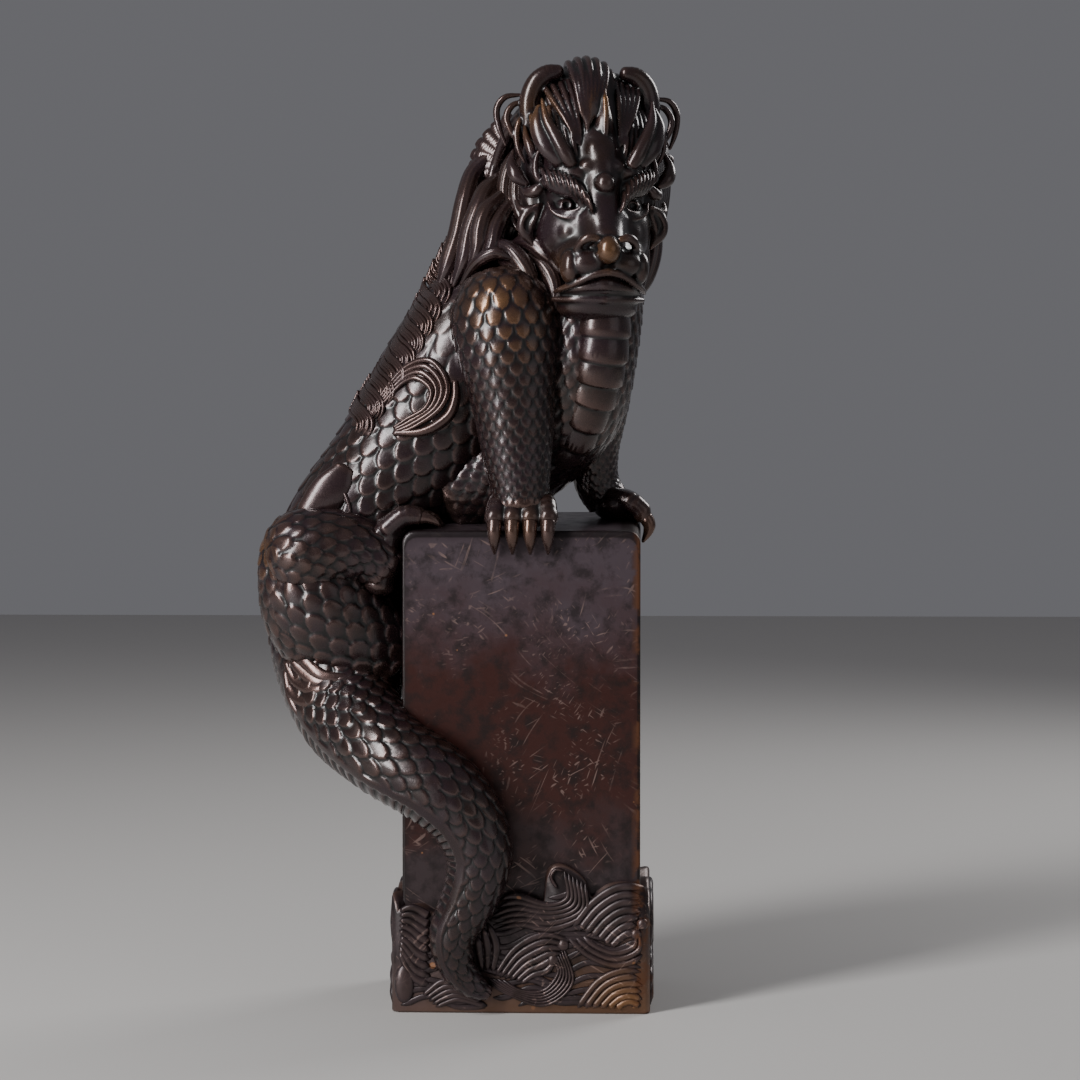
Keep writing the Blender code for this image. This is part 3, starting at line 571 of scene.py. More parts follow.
def cast_bronze(name, colours):
    """Cast bronze, chased and patinated a dark plum brown, then handled until the high places shine.

    To the eye it is near black in its hollows, plum on its flats, and warm brass where hands rub it.
    """
    material, tree = new_material(name)
    place = add_node(tree, "ShaderNodeTexCoord").outputs["Object"]
    clouds = noise(tree, place, 0.022, 5.0, 0.6)
    grains = noise(tree, place, 0.0018, 4.0, 0.65)
    proud = noted(tree, "proud")
    rubbed = noted(tree, "rubbed")
    flat = blend(tree, share_of(tree, clouds, 0.38, 0.62), colours["plum"], colours["brown"])
    speckled = blend(tree, share_of(tree, grains, 0.62, 0.78, 0, 0.45), flat, colours["hollow"])
    hollow = share_of(tree, proud, 0.52, 0.30)
    worn = share_of(tree, proud, 0.58, 0.95, 0, 0.7)
    toned = blend(tree, hollow, speckled, colours["hollow"])
    broken = maths(tree, "MULTIPLY", worn, share_of(tree, clouds, 0.3, 0.6, 0.25, 0.8))
    edged = blend(tree, broken, toned, colours["worn"])
    touched = maths(tree, "MULTIPLY", rubbed, share_of(tree, proud, 0.50, 0.85))
    colour = blend(tree, touched, edged, colours["brass"])
    rough = share_of(tree, grains, 0.3, 0.7, 0.21, 0.33)
    rough_hollow = maths(tree, "MULTIPLY_ADD", hollow, 0.25, rough)
    bump = add_node(tree, "ShaderNodeBump", None, Strength=0.22, Distance=0.0004, Height=grains)
    bared = maths(tree, "MAXIMUM", broken, touched)
    metal = share_of(tree, bared, 0.0, 0.6, 0.40, 0.90)
    shader = add_node(
        tree, "ShaderNodeBsdfPrincipled", None, Base_Color=colour, Metallic=metal,
        Roughness=rough_hollow, Normal=bump.outputs["Normal"],
    )
    shader.inputs["Coat Weight"].default_value = 0.55
    shader.inputs["Coat Roughness"].default_value = 0.19
    add_node(tree, "ShaderNodeOutputMaterial", None, Surface=shader.outputs[0])
    return material


def block_patina(name, colours):
    """Cast bronze slab under a mottled red-brown patina, scratched and chipped by handling.

    To the eye it is grey at its top, reddish in its middle, with fine pale scratches and worn edges.
    """
    material, tree = new_material(name)
    place = add_node(tree, "ShaderNodeTexCoord").outputs["Object"]
    axes = add_node(tree, "ShaderNodeSeparateXYZ", None, Vector=place)
    clouds = noise(tree, place, 0.030, 6.0, 0.62)
    mottle = noise(tree, place, 0.0065, 5.0, 0.6)
    grains = noise(tree, place, 0.0011, 3.0)
    proud = noted(tree, "proud")
    rubbed = noted(tree, "rubbed")
    # grey at the top, red in the middle and darker at the foot, in uneven bands
    lifted = maths(tree, "MULTIPLY_ADD", clouds, 0.10, axes.outputs["Z"])
    reddened = blend(tree, share_of(tree, lifted, 0.235, 0.185), colours["grey"], colours["red"])
    base = blend(tree, share_of(tree, lifted, 0.140, 0.105), reddened, colours["foot"])
    dappled = blend(tree, share_of(tree, mottle, 0.46, 0.66, 0, 0.75), base, colours["dark"])
    # small chips of uneven size
    chips = add_node(
        tree, "ShaderNodeTexVoronoi", {"feature": "F1"}, Vector=place, Scale=1 / 0.014, Randomness=1.0
    )
    chance = maths(tree, "POWER", chips.outputs["Color"], 5.0)
    size = maths(tree, "MULTIPLY_ADD", chance, -0.16, chips.outputs["Distance"])
    ragged = maths(tree, "MULTIPLY_ADD", mottle, 0.10, size)
    chipped = blend(tree, share_of(tree, ragged, 0.095, 0.070, 0, 0.85), dappled, colours["chip"])
    # scratches in three directions, each a noise drawn out into lines that sway a little
    sway = add_node(tree, "ShaderNodeTexNoise", None, Vector=place, Scale=1 / 0.060, Detail=0.0)
    bent = add_node(
        tree, "ShaderNodeVectorMath", {"operation": "MULTIPLY_ADD"}, i0=sway.outputs["Color"], i2=place
    )
    bent.inputs[1].default_value = (0.040, 0.040, 0.040)
    nicks = []
    for turn, seed in ((38, 0.0), (-52, 0.3), (75, 0.7)):
        drawn = add_node(tree, "ShaderNodeMapping", {"vector_type": "TEXTURE"}, Vector=bent.outputs[0])
        drawn.inputs["Location"].default_value = (seed, seed, seed)
        drawn.inputs["Rotation"].default_value = (0, math.radians(turn), 0)
        drawn.inputs["Scale"].default_value = (1 / 1000, 1 / 1000, 1 / 9)
        scratch = noise(tree, drawn.outputs[0], 1.0, 0.0)
        nicks.append(share_of(tree, scratch, 0.72, 0.78, 0, 0.5))
    lines = maths(tree, "MAXIMUM", maths(tree, "MAXIMUM", nicks[0], nicks[1]), nicks[2])
    masked = maths(tree, "MULTIPLY", lines, share_of(tree, clouds, 0.46, 0.60))
    scored = blend(tree, masked, chipped, colours["scratch"])
    # painted shade in the hollows, chiefly the grooves between the waves marked hollow, then worn edges and
    # rubbed metal
    toned = blend(tree, share_of(tree, proud, 0.50, 0.30, 0, 0.85), scored, colours["dark"])
    edged = blend(tree, share_of(tree, proud, 0.62, 1.0, 0, 0.5), toned, colours["worn"])
    touched = maths(tree, "MULTIPLY", rubbed, share_of(tree, proud, 0.40, 0.70))
    handled = blend(tree, touched, edged, colours["brass"])
    # amber where the front right edge is rubbed thin
    right = share_of(tree, axes.outputs["X"], 0.0462, 0.0500)
    front = share_of(tree, axes.outputs["Y"], -0.0330, -0.0360)
    patchy = share_of(tree, mottle, 0.44, 0.58, 0.0, 0.9)
    edge = maths(tree, "MULTIPLY", maths(tree, "MULTIPLY", right, front), patchy)
    colour = blend(tree, edge, handled, colours["amber"])
    rough = share_of(tree, mottle, 0.3, 0.7, 0.28, 0.44)
    bump = add_node(tree, "ShaderNodeBump", None, Strength=0.25, Distance=0.0004, Height=mottle)
    finer = add_node(
        tree, "ShaderNodeBump", None, Strength=0.12, Distance=0.0002, Height=grains,
        Normal=bump.outputs["Normal"]
    )
    shader = add_node(
        tree, "ShaderNodeBsdfPrincipled", None, Base_Color=colour, Metallic=0.45, Roughness=rough,
        Normal=finer.outputs["Normal"],
    )
    shader.inputs["Coat Weight"].default_value = 0.15
    shader.inputs["Coat Roughness"].default_value = 0.30
    add_node(tree, "ShaderNodeOutputMaterial", None, Surface=shader.outputs[0])
    return material


def thin_out(obj, most, kept):
    """Collapses the flattest edges down to about this many triangles, all but those of the kept points."""
    count = sum(len(face.vertices) - 2 for face in obj.data.polygons)
    if count <= most:
        return
    group = obj.vertex_groups.new(name="thinned")
    group.add(range(kept, len(obj.data.vertices)), 1, "REPLACE")
    thin = obj.modifiers.new("thin", "DECIMATE")
    thin.ratio = most / count
    thin.vertex_group = group.name
    graph = bpy.context.evaluated_depsgraph_get()
    mesh = bpy.data.meshes.new_from_object(obj.evaluated_get(graph))
    obj.modifiers.clear()
    obj.vertex_groups.clear()
    obj.data = mesh


def finish_piece(obj, material, node, kept=0):
    """Gives a piece its wear and finish, and sets it in the frame in place of the plain casting."""
    note_wear(obj)
    thin_out(obj, MOST_TRIANGLES[obj.name], kept)
    obj.data.materials.append(material)
    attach(obj, "root")
    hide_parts(node)
    return obj


def own_keys(group):
    """The names of a property group's own settings."""
    return [key for key in group.bl_rna.properties.keys() if key not in ("rna_type", "name")]


def colours_of(group):
    """A property group's colours, each with full alpha."""
    return {key: (*getattr(group, key), 1) for key in own_keys(group)}


def dragon_material():
    """The one bronze of every piece of the dragon, made when it is first asked for."""
    found = bpy.data.materials.get("dark_plum_bronze")
    if found:
        return found
    return cast_bronze("dark_plum_bronze", colours_of(bpy.context.scene.dragon_tints))


# The dragon's body.


def trunk_scale(radius):
    """The width of a scale where the trunk has this radius."""
    return 5.2 + 0.15 * radius


def limb_scale(radius):
    return 0.9 + 0.30 * radius


def thigh_scale(radius):
    return np.full_like(radius, 9.4)


def shin_scale(radius):
    return np.full_like(radius, 7.2)


def chest_scale(radius):
    return np.full_like(radius, 6.4)


def trunk_fullness(share, angle):
    """How full the scales are along the trunk: worn flatter at the neck and shoulders."""
    upper = np.clip((0.215 - share) / 0.02, 0, 1)[:, None]
    return 1 - 0.6 * upper * np.ones(len(angle))[None, :]


def trunk_relief(run, angle, radius):
    """Scales, fuller on the tail, with a row of small plates along its spine between two smooth bands."""
    share = (run / run[-1])[:, None]
    flat = scales(trunk_scale, 0.14, 0.2, trunk_fullness)(run, angle, radius)
    full = scales(trunk_scale, 0.19, 0.3)(run, angle, radius)
    base = flat + (full - flat) * np.clip((share - 0.46) / 0.06, 0, 1)
    about = np.abs((angle + math.pi) % (2 * math.pi) - math.pi)[None, :]
    low = np.clip((share - 0.52) / 0.04, 0, 1)
    ahead = (run / 4.6 % 1)[:, None]
    plate = 1.3 * ahead**0.6 * np.clip((1 - ahead) * 6, 0, 1)
    wider = np.clip((share - 0.68) / 0.10, 0, 1)
    strip = low * np.clip((0.42 + 0.10 * wider - about) * 14, 0, 1)
    band = low * np.clip((0.62 + 0.25 * wider - about) * 14, 0, 1)
    base = base * (1 - band) + 1.25 * band
    return base * (1 - strip) + plate * strip


def trunk_part(grain, radius, start, stop):
    """The trunk from one share of its length to another, with its points about one grain apart."""
    rings = int(TRUNK_LENGTH / grain)
    sides = int(2 * math.pi * radius / grain)
    return tube(TRUNK, SPINE, rings, sides, trunk_relief, start, stop)


def on_trunk(path, share, angle, lift):
    """A place on the trunk's surface, at a share of its length and an angle from the spine."""
    middle, wide, _, _, outward, across = path
    at = int(round(np.clip(share, 0, 1) * (len(middle) - 1)))
    way = math.cos(angle) * outward[at] + math.sin(angle) * across[at]
    return middle[at] + way * (wide[at, 0] + lift), way


def trunk_surface(x, z):
    """The front of the trunk at this place."""
    path = curve_through(TRUNK, 120)
    far = np.hypot(path[:, 0] - x, path[:, 2] - z)
    near = np.argmin(far / path[:, 3])
    radius = path[near, 3]
    return path[near, 1] - math.sqrt(max(radius**2 - far[near] ** 2, (0.2 * radius) ** 2))


def laid(points, wide, thick, rings=40, sides=14, sink=0.2):
    """A smooth ridge laid on the front of the trunk through places across and up."""
    rows = []
    for step, (x, z) in enumerate(points):
        share = step / (len(points) - 1)
        swell = 0.30 + 0.70 * math.sin(math.pi * (0.12 + 0.78 * share))
        rows.append((x, trunk_surface(x, z) - thick * sink, z, wide * swell, thick * swell))
    return tube(rows, (0, -1, 0), rings, sides)


def flank():
    """The curled scroll on the flank, with its outer comma."""
    outer = [
        (-65.6, 252), (-58, 264.3), (-49.1, 273.2), (-39.4, 275.3), (-33, 269), (-31.7, 261.3),
        (-36, 253.7), (-46.1, 246.9), (-53.8, 244.4),
    ]
    inner = [
        (-63.5, 252.4), (-55.9, 261.3), (-50.4, 266.4), (-44.9, 267.7), (-39.4, 264.3),
        (-38.5, 260.1), (-41.5, 254.6), (-49.1, 250.3), (-54.6, 246.9),
    ]
    comma = [(-28.3, 266.4), (-28.3, 258.8), (-31.7, 251.2), (-41.5, 245.2), (-54.6, 244.4)]
    rolls = []
    for share, thick in ((0, 2.8), (0.34, 2.4), (0.67, 2.2), (1, 2.8)):
        between = [
            (a + (c - a) * share, b + (d - b) * share)
            for (a, b), (c, d) in zip(outer, inner, strict=True)
        ]
        rolls.append(laid(between, 1.5, thick, 70))
    return [*rolls, laid(comma, 2.6, 3.4, 50)]


def near_tufts():
    """Clumps of fine hair down the near side of the spine, which run steeply in from the outline."""
    edge = curve_through([(x, z, 0) for x, z in CREST_EDGE], 200)[:, :2]
    run = np.concatenate([[0], np.cumsum(np.linalg.norm(np.diff(edge, axis=0), axis=1))])
    shapes = []
    for clump in range(11):
        for lock in range(6):
            uneven = 0.3 * math.sin(9.0 * clump + 5.0 * lock)
            at = np.searchsorted(run, clump * CLUMP_GAP + lock * LOCK_GAP + uneven)
            if at >= len(run):
                continue
            size = 1.08 - 0.09 * lock + 0.05 * math.sin(7.0 * clump + 3.0 * lock)
            rows = []
            for across, fall, swell in (
                (-0.8, 1.6, 0.7), (-0.9, -1.2, 1.0), (0.8, -4.0, 1.2), (4.2, -6.8, 1.2), (6.6, -10.4, 1.1),
                (6.2, -14.4, 0.8), (3.8, -17.6, 0.25),
            ):
                x, z = edge[at] + np.array((across, fall)) * size
                y = trunk_surface(x, z) - (1.3 - 0.2 * lock) * swell
                rows.append((x, y, z, 0.80 * swell, 1.3 * swell))
            shapes.append(tube(rows, (-0.4, -1, 0), 28, 8))
    return shapes


def tufts():
    """Plainer clumps of hair down the far side of the spine."""
    shapes = []
    path = limb_frame(TRUNK, SPINE, 400)
    length = 407
    for clump in range(13):
        begin = -4 + clump * 9.2
        for lock in range(6):
            rows = []
            for part, swell in ((0, 1.0), (0.25, 1.25), (0.5, 1.2), (0.75, 1.0), (0.92, 0.7), (1, 0.3)):
                run = begin + 1.65 * lock * (1 - 0.45 * part) + 6 * part**2 + 0.5 * lock * part**4
                angle = 0.10 + (1.20 - 0.05 * lock) * part
                lift = (2.2 - 0.22 * lock) * math.cos(0.5 * math.pi * part**2)
                place, way = on_trunk(path, run / length, angle, lift)
                rows.append((*place, 0.95 * swell, 1.3 * swell))
            shapes.append(tube(rows, way, 24, 8))
    return shapes


def leaf_fin():
    """The fin below the thigh: flowing ridges that end in a point to the right."""
    lines = [
        [(-100.7, 159.7), (-94.4, 150), (-85.1, 142), (-73.8, 139.9), (-63.2, 136.5)],
        [(-101, 153), (-95.2, 144.5), (-86.5, 138.8), (-76, 138.5), (-68, 133)],
        [(-101.5, 147), (-96.5, 139), (-88.1, 135.4), (-79, 136), (-72.1, 129.4)],
        [(-101.7, 141), (-97.6, 133), (-90, 130), (-82, 132), (-75, 126)],
        [(-101.5, 143), (-97.9, 131), (-93.4, 123)],
    ]
    shapes = []
    for at, line in enumerate(lines):
        shapes.append(laid(line, 2.8, 1.6, 44, 14, 0.35 + 0.05 * at))
    return shapes


def hip_leaf():
    """A smooth shield on the hip, with a rolled edge towards the scales."""
    leaf = laid([(-94, 203), (-89.5, 210), (-83.5, 218), (-79, 224), (-75.5, 230)], 8.5, 4.2, 60, 40, 0.55)
    edge = [(-88, 228), (-81, 224.5), (-76, 219), (-73.5, 212), (-73.5, 205)]
    return [leaf, laid(edge, 1.1, 1.9, 40, 12)]


def limb(rows, step, relief):
    """A scaled limb, with its points about one step apart."""
    length = np.linalg.norm(np.diff(np.array(rows)[:, :3], axis=0), axis=1).sum()
    widest = max(row[3] for row in rows)
    return tube(rows, (0, -1, 0), int(length / step), int(2 * math.pi * widest / step), relief)


def claw(rows, out):
    return tube(rows, out, 26, 16)


def fore_paws():
    """The near paw over the block's front edge and the far one over its right edge."""
    shapes = []
    clay = Clay((-20, -50, 196), (20, -18, 224), 0.6)
    clay.ball((0, -32, 212), (14, 10, 8.5), 1)
    for x in NEAR_TOES_AT:
        clay.stroke([(x * 0.7, -27, 217, 4.6), (x * 0.9, -36, 214, 4.6), (x, -41, 208.5, 4.1)], soft=1.0)
        clay.ball((x, -40.5, 209), (4.3, 4.2, 4.4), 0.6)
    shapes.append(clay.surface())
    for x in NEAR_TOES_AT:
        nail = [(x, -42, 207, 3.3), (x, -43.5, 203, 3.0), (x, -42.4, 198.5, 2.2), (x, -39.6, 193.5, 0.6)]
        shapes.append(claw(nail, (0, -1, 0.2)))
    clay = Clay((26, -10, 198), (60, 32, 226), 0.65)
    clay.ball((40, 11, 213.5), (11, 13, 7.5), 1)
    for y in FAR_TOES_AT:
        clay.stroke([(38, 4 + y * 0.7, 217, 4.4), (46, y, 215, 4.4), (51, y, 211, 4)], (0, 0, 1), 1.0)
        clay.ball((50.8, y, 210), (4, 4, 4.2), 0.6)
    shapes.append(clay.surface())
    for y in FAR_TOES_AT:
        nail = [(52.3, y, 208.5, 3.1), (54, y, 205, 2.8), (53.4, y, 201.5, 2), (51.2, y, 197.5, 0.6)]
        shapes.append(claw(nail, (1, 0, 0.2)))
    return shapes


def hind_feet():
    """Feet that grip the block's top left edge, each with three toes and claws."""
    clay = Clay((-74, -42, 174), (-34, -8, 216), 0.65)
    clay.stroke(
        [(-61, -26, 180, 9.5, 7), (-59, -26, 190, 9.5, 6.5), (-56.5, -26, 200, 9, 6)], (-1, 0, 0),
        1.5,
    )
    clay.ball((-55, -25, 204), (8, 10, 6), 2)
    for y in HIND_TOES_AT:
        clay.stroke(
            [(-57, y * 0.9 - 2.5, 204, 4.6), (-50, y, 209.5, 4.4), (-44, y, 209.3, 3.8)], (0, 0, 1),
            0.8,
        )
        clay.ball((-47, y, 209.3), (4, 4, 3.9), 0.5)
        clay.stroke(
            [
                (-61.5, y * 0.9 - 2.5, 190, 2.6), (-61, y * 0.9 - 2.5, 200, 3),
                (-58, y * 0.9 - 2.5, 206, 2.8),
            ],
            (-1, 0, 0), 0.6,
        )
    foot = clay.surface()
    shapes = [foot, mirrored((foot[0], foot[1].tolist()), 1)]
    for y in HIND_TOES_AT:
        nail = claw(
            [(-44, y, 208.6, 2.9), (-40.5, y, 208.8, 2.7), (-37, y, 207.4, 1.9), (-34, y, 205, 0.5)],
            (0, -1, 0),
        )
        shapes += [nail, mirrored(nail, 1)]
    return shapes


# The head, drawn in its own frame: x across it, -y ahead of it and z up.


def sculpt_face(clay):
    """The skull, forehead, eyes, nose and mouth."""
    clay.ball((0, 8, 19), (27, 27, 35), 2)
    clay.ball((0, -3, 9), (23, 21, 22), 3)
    clay.ball((0, -11, -9), (18.5, 16, 17), 4)
    clay.ball((0, -14, -24), (19.5, 18, 12), 4)
    clay.ball((15, -4, -12), (9.5, 14, 15), 4, pair=True)
    clay.ball((0, -11, -41), (18, 17, 7.5), 3)
    # two knuckles on the forehead that run down into the wart between the brows
    clay.stroke(
        [(0, -14, 25, 6), (0, -19.5, 17, 5.4), (0, -21.0, 10, 5.0), (0, -20.4, 2, 6.4), (0, -21, -8, 8.0)],
        soft=4,
    )
    clay.ball((5.2, -21.6, 13.6), (4.4, 3.4, 3.2), 1.4, pair=True)
    clay.ball((3.0, -20.6, 20), (3.2, 3.2, 4.4), 1.2, pair=True)
    clay.stroke([(9, -20.6, 10.6, 2.2), (13, -19.5, 11.4, 2.0), (18, -15.5, 14, 1.6)], soft=1.6, pair=True)
    clay.ball((0, -26.4, 6.0), (4.3, 4.6, 4.6), 0.6)
    # the eyes, deep under the brows, with ringed lids
    clay.ball((13.8, -24.0, -2), (7.6, 8.4, 5.4), 1.5, cut=True, pair=True)
    clay.ball((14.2, -15.0, -2.2), (3.7, 3.8, 3.1), 0.4, pair=True)
    clay.ball((14.2, -18.8, -2.2), (1.9, 1.8, 1.9), 0.3, cut=True, pair=True)
    for reach, width in ((0.62, 0.55), (0.82, 0.6), (1.02, 0.6)):
        sink = 2.4 * (1 - reach)
        lid = [
            (14.4 + 7.0 * reach, -14 + sink, -1.2 + 0.6 * reach, 0.5 * width),
            (14.4 + 5.4 * reach, -17 + sink, -1.2 - 4.0 * reach, width),
            (14.4 + 0.4 * reach, -21 + sink, -1.2 - 6.5 * reach, width),
            (14.4 - 5.4 * reach, -23.4 + sink, -1.2 - 5.8 * reach, width),
            (14.4 - 7.8 * reach, -24.2 + sink, -1.2 - 3.4 * reach, 0.4 * width),
        ]
        clay.stroke(lid, soft=0.7, pair=True)
    # the bridge and the nose: a bulb between two wings, with deep nostrils
    clay.ball((0, -27.6, -9), (3.8, 3, 2.4), 2)
    clay.stroke([(0, -21, -8, 8.0), (0, -25.5, -15, 7.4), (0, -31, -20, 6.2)], soft=4)
    clay.ball((-0.7, -36, -22.2), (5.0, 5.4, 5.8), 0.7)
    wing = [
        (4.2, -35.6, -18.0, 1.2), (7.6, -35.2, -17.0, 1.7), (10.6, -33.4, -18.2, 1.8),
        (12.6, -30.5, -21, 1.3), (13.2, -28, -24, 0.7),
    ]
    clay.stroke(wing, soft=0.6, pair=True)
    clay.ball((8.4, -35.4, -22.0), (3.3, 5.4, 2.6), 0.4, cut=True, pair=True)
    clay.ball((7.4, -29.6, -27.4), (7.4, 5.2, 5.6), 3, pair=True)
    # the lips, which bow up in the middle, and the dark mouth between them
    clay.ball((14.8, -26.2, -28.6), (4.2, 5.6, 7.0), 0.7, pair=True)
    lip = [
        (19.2, -17.5, -38.6, 0.9), (17.2, -22, -37.5, 1.2), (13, -27.6, -35.6, 1.4),
        (6.3, -32.6, -32.4, 1.5), (0, -34.4, -31.2, 1.5),
    ]
    clay.stroke(
        [(17, -17.5, -38.0, 1.2), (10, -24.4, -37.2, 2.2), (0, -28.0, -35.6, 3.6)], soft=1.2,
        pair=True,
    )
    clay.stroke(lip, soft=0.5, pair=True)
    clay.stroke(
        [(19.6, -16, -39.8, 0.8), (12, -26, -39.8, 1.1), (0, -31, -39.8, 1.4)], (0, 0, 1), 0.3,
        cut=True, pair=True,
    )
    clay.stroke(
        [(19.4, -14, -41.4, 0.8), (12, -22.6, -41.8, 0.9), (0, -27.0, -42.0, 1.4)], (0, 0, 1), 1.0,
        pair=True,
    )
    clay.ball((0, -12.5, -45.5), (17, 12.5, 5.6), 2.5)
    clay.ball((13.2, -17.5, -13.5), (4, 4, 3.6), 1.6, pair=True)


def sculpt_brows(clay):
    """A comb of steep strands that curls down to the bridge of the nose."""
    rows = [(7.4, -22.6, -3, 1.8), (11, -22.0, 3.4, 3.4), (16, -18.6, 5.4, 3.8), (21.4, -12.6, 8.6, 3.0)]
    clay.stroke(rows, soft=1.2, pair=True)
    for strand in range(9):
        share = strand / 8
        top = 23.8 - 15.2 * share
        high = 13.6 - 4.4 * share - 6.0 * share**4
        depth = -9.5 - 13.5 * share**0.75
        rows = [
            (top, depth - 0.4, high, 0.6, 0.9), (top - 0.4, depth - 4.8, high - 2.6, 0.95, 1.9),
            (top - 1.5, depth - 7.0, high - 6.4, 0.95, 2.0),
            (top - 3.2, depth - 5.4, high - 10.2, 0.55, 0.9),
        ]
        clay.stroke(rows, soft=0.05, pair=True)


def sculpt_horns(clay):
    """The leaf-shaped horns over the brows, the spike between them and the horns that curl behind."""
    flank = [
        (16.5, -17.6, 16, 3.4, 2.8), (21.6, -16.4, 23, 4.8, 3.4), (24.8, -13.6, 31, 4.0, 3.0),
        (24.6, -11.4, 39, 1.2, 1.4),
    ]
    clay.stroke(flank, soft=1.0, pair=True)
    ridge = [
        (13.0, -20.6, 14.6, 2.7), (15.6, -21.2, 19, 3.0), (19.4, -19.8, 26, 2.6), (22.6, -16.8, 33, 1.9),
        (23.8, -13.2, 42, 0.6),
    ]
    clay.stroke(ridge, soft=0.35, pair=True)
    clay.stroke(
        [
            (1.6, -14.5, 25, 4.6, 4), (1.8, -17.6, 31, 3.7, 3.6), (2, -17.5, 38, 2.2, 2.4),
            (2.2, -16, 45.6, 0.6, 0.6),
        ],
        soft=0.8,
    )
    clay.stroke([(1.8, -20.8, 27, 0.7), (2.0, -20.8, 34, 0.7), (2.2, -18.0, 43, 0.5)], soft=1.2)
    curl = [
        (22, 3, 22, 4.4, 4.2), (25.2, 2, 33, 4.6, 4.4), (25.8, 1, 43, 4.8, 4.4),
        (23.6, -0.5, 50.4, 4.5, 4.2),
        (19.2, -1.8, 54.4, 3.9, 3.6), (14.4, -2.4, 55.4, 3.0, 3.0),
    ]
    clay.stroke(curl, soft=0.5, pair=True)
    clay.stroke(
        [(24, -3.4, 42, 0.6), (21.6, -4.6, 48, 0.7), (17.4, -5.4, 51.4, 0.6)], soft=0.5, cut=True,
        pair=True,
    )


def sculpt_hair(clay):
    """A full helmet of strands, with a central tuft that runs down to a point on the forehead."""
    for strand in range(-16, 17):
        share = strand / 16
        bend = abs(share) ** 1.8
        lean = share * 27
        crown = 58 - 20 * bend + 0.9 * (strand % 2)
        rows = [
            (lean * 0.58, -14.5 + 8 * bend, 25 - 11 * abs(share), 0.9),
            (lean * 0.80, -12.5 + 10 * bend, 36 - 11 * bend, 1.5),
            (lean * 0.96, -5 + 7 * bend, crown - 6, 1.8),
            (lean * 1.04, 5, crown, 2.1),
            (lean * 1.20, 19, crown - 7, 2.3),
            (lean * 1.26 - 1, 30, crown - 24 + 6 * abs(share), 2.3),
            (lean * 1.24 - 3.5, 35 - 5 * bend, 10, 2.3),
            (lean * 1.12 - 7, 37 - 7 * bend, -14, 2.3),
            (lean * 1.0 - 11, 37 - 7 * bend, -38 - 4 * (strand % 3), 1.0),
        ]
        clay.stroke(rows, (0.2, -0.6, 1), 0.25)
    for strand in range(9):
        share = strand / 4 - 1
        high = 61.6 - 2.2 * share**2 - 1.5 * (strand % 2)
        rows = [
            (-5.4 + 1.0 * share, -17.8, 28.5 + 4.5 * abs(share), 0.6),
            (-4.4 + 3.8 * share, -18.6 + 0.9 * abs(share), 38, 1.0),
            (-3.2 + 6.4 * share, -15.2 + 1.6 * share**2, 49, 1.25),
            (-2.4 + 7.6 * share, -8.5 + 1.5 * share**2, high - 3.5, 1.35),
            (-2.0 + 7.6 * share, 1, high, 1.5),
            (-1.8 + 6.6 * share, 13, high - 2, 1.1),
        ]
        clay.stroke(rows, (0.1, -0.8, 0.6), 0.2)
    for strand in range(7):
        share = strand / 6
        rows = [
            (9.5 + 9.5 * share, -19.4 + 4 * share, 12.5 + 2 * share, 0.6),
            (11 + 12 * share, -18.6 + 6 * share, 21 + share, 1.3),
            (12 + 14 * share, -14.6 + 7 * share, 31, 1.5),
            (12 + 14 * share, -9 + 8 * share, 42 - 4 * share, 1.2),
        ]
        clay.stroke(rows, (0.2, -0.9, 0.3), 0.12, pair=True)
    for side, count in ((-1, 4), (1, 5)):
        for strand in range(count):
            share = strand / (count - 1)
            rows = [
                (side * (8.2 + 2.0 * share), -18.4, 22.5 + 2 * share, 0.5),
                (side * (8.8 + 5.2 * share), -16.4 + 1.2 * share, 32 + share, 1.15),
                (side * (9.6 + 8.4 * share), -10.8 + 2.4 * share, 43 - share, 1.35),
                (side * (10.4 + 9.8 * share), -3, 51.5 - 3.5 * share, 1.3),
            ]
            clay.stroke(rows, (0.3 * side, -0.8, 0.5), 0.12)
    # long strands that fall behind the right temple
    for strand in range(8):
        share = strand / 7
        rows = [
            (20 + 3 * share, 4 + 8 * share, 46 - 3 * share, 1.2),
            (25 + 6.5 * share, 2 + 9 * share, 36 - 2 * share, 1.6),
            (27.5 + 8.5 * share, 1 + 11 * share, 23, 1.6),
            (28 + 9 * share, 1 + 12 * share, 8, 1.6),
            (26.5 + 8 * share, 2 + 12 * share, -6 - 2 * share, 1.4),
            (23 + 6 * share, 3 + 12 * share, -18 - 4 * share, 0.7),
        ]
        clay.stroke(rows, (0.5, -0.8, 0.1), 0.12)


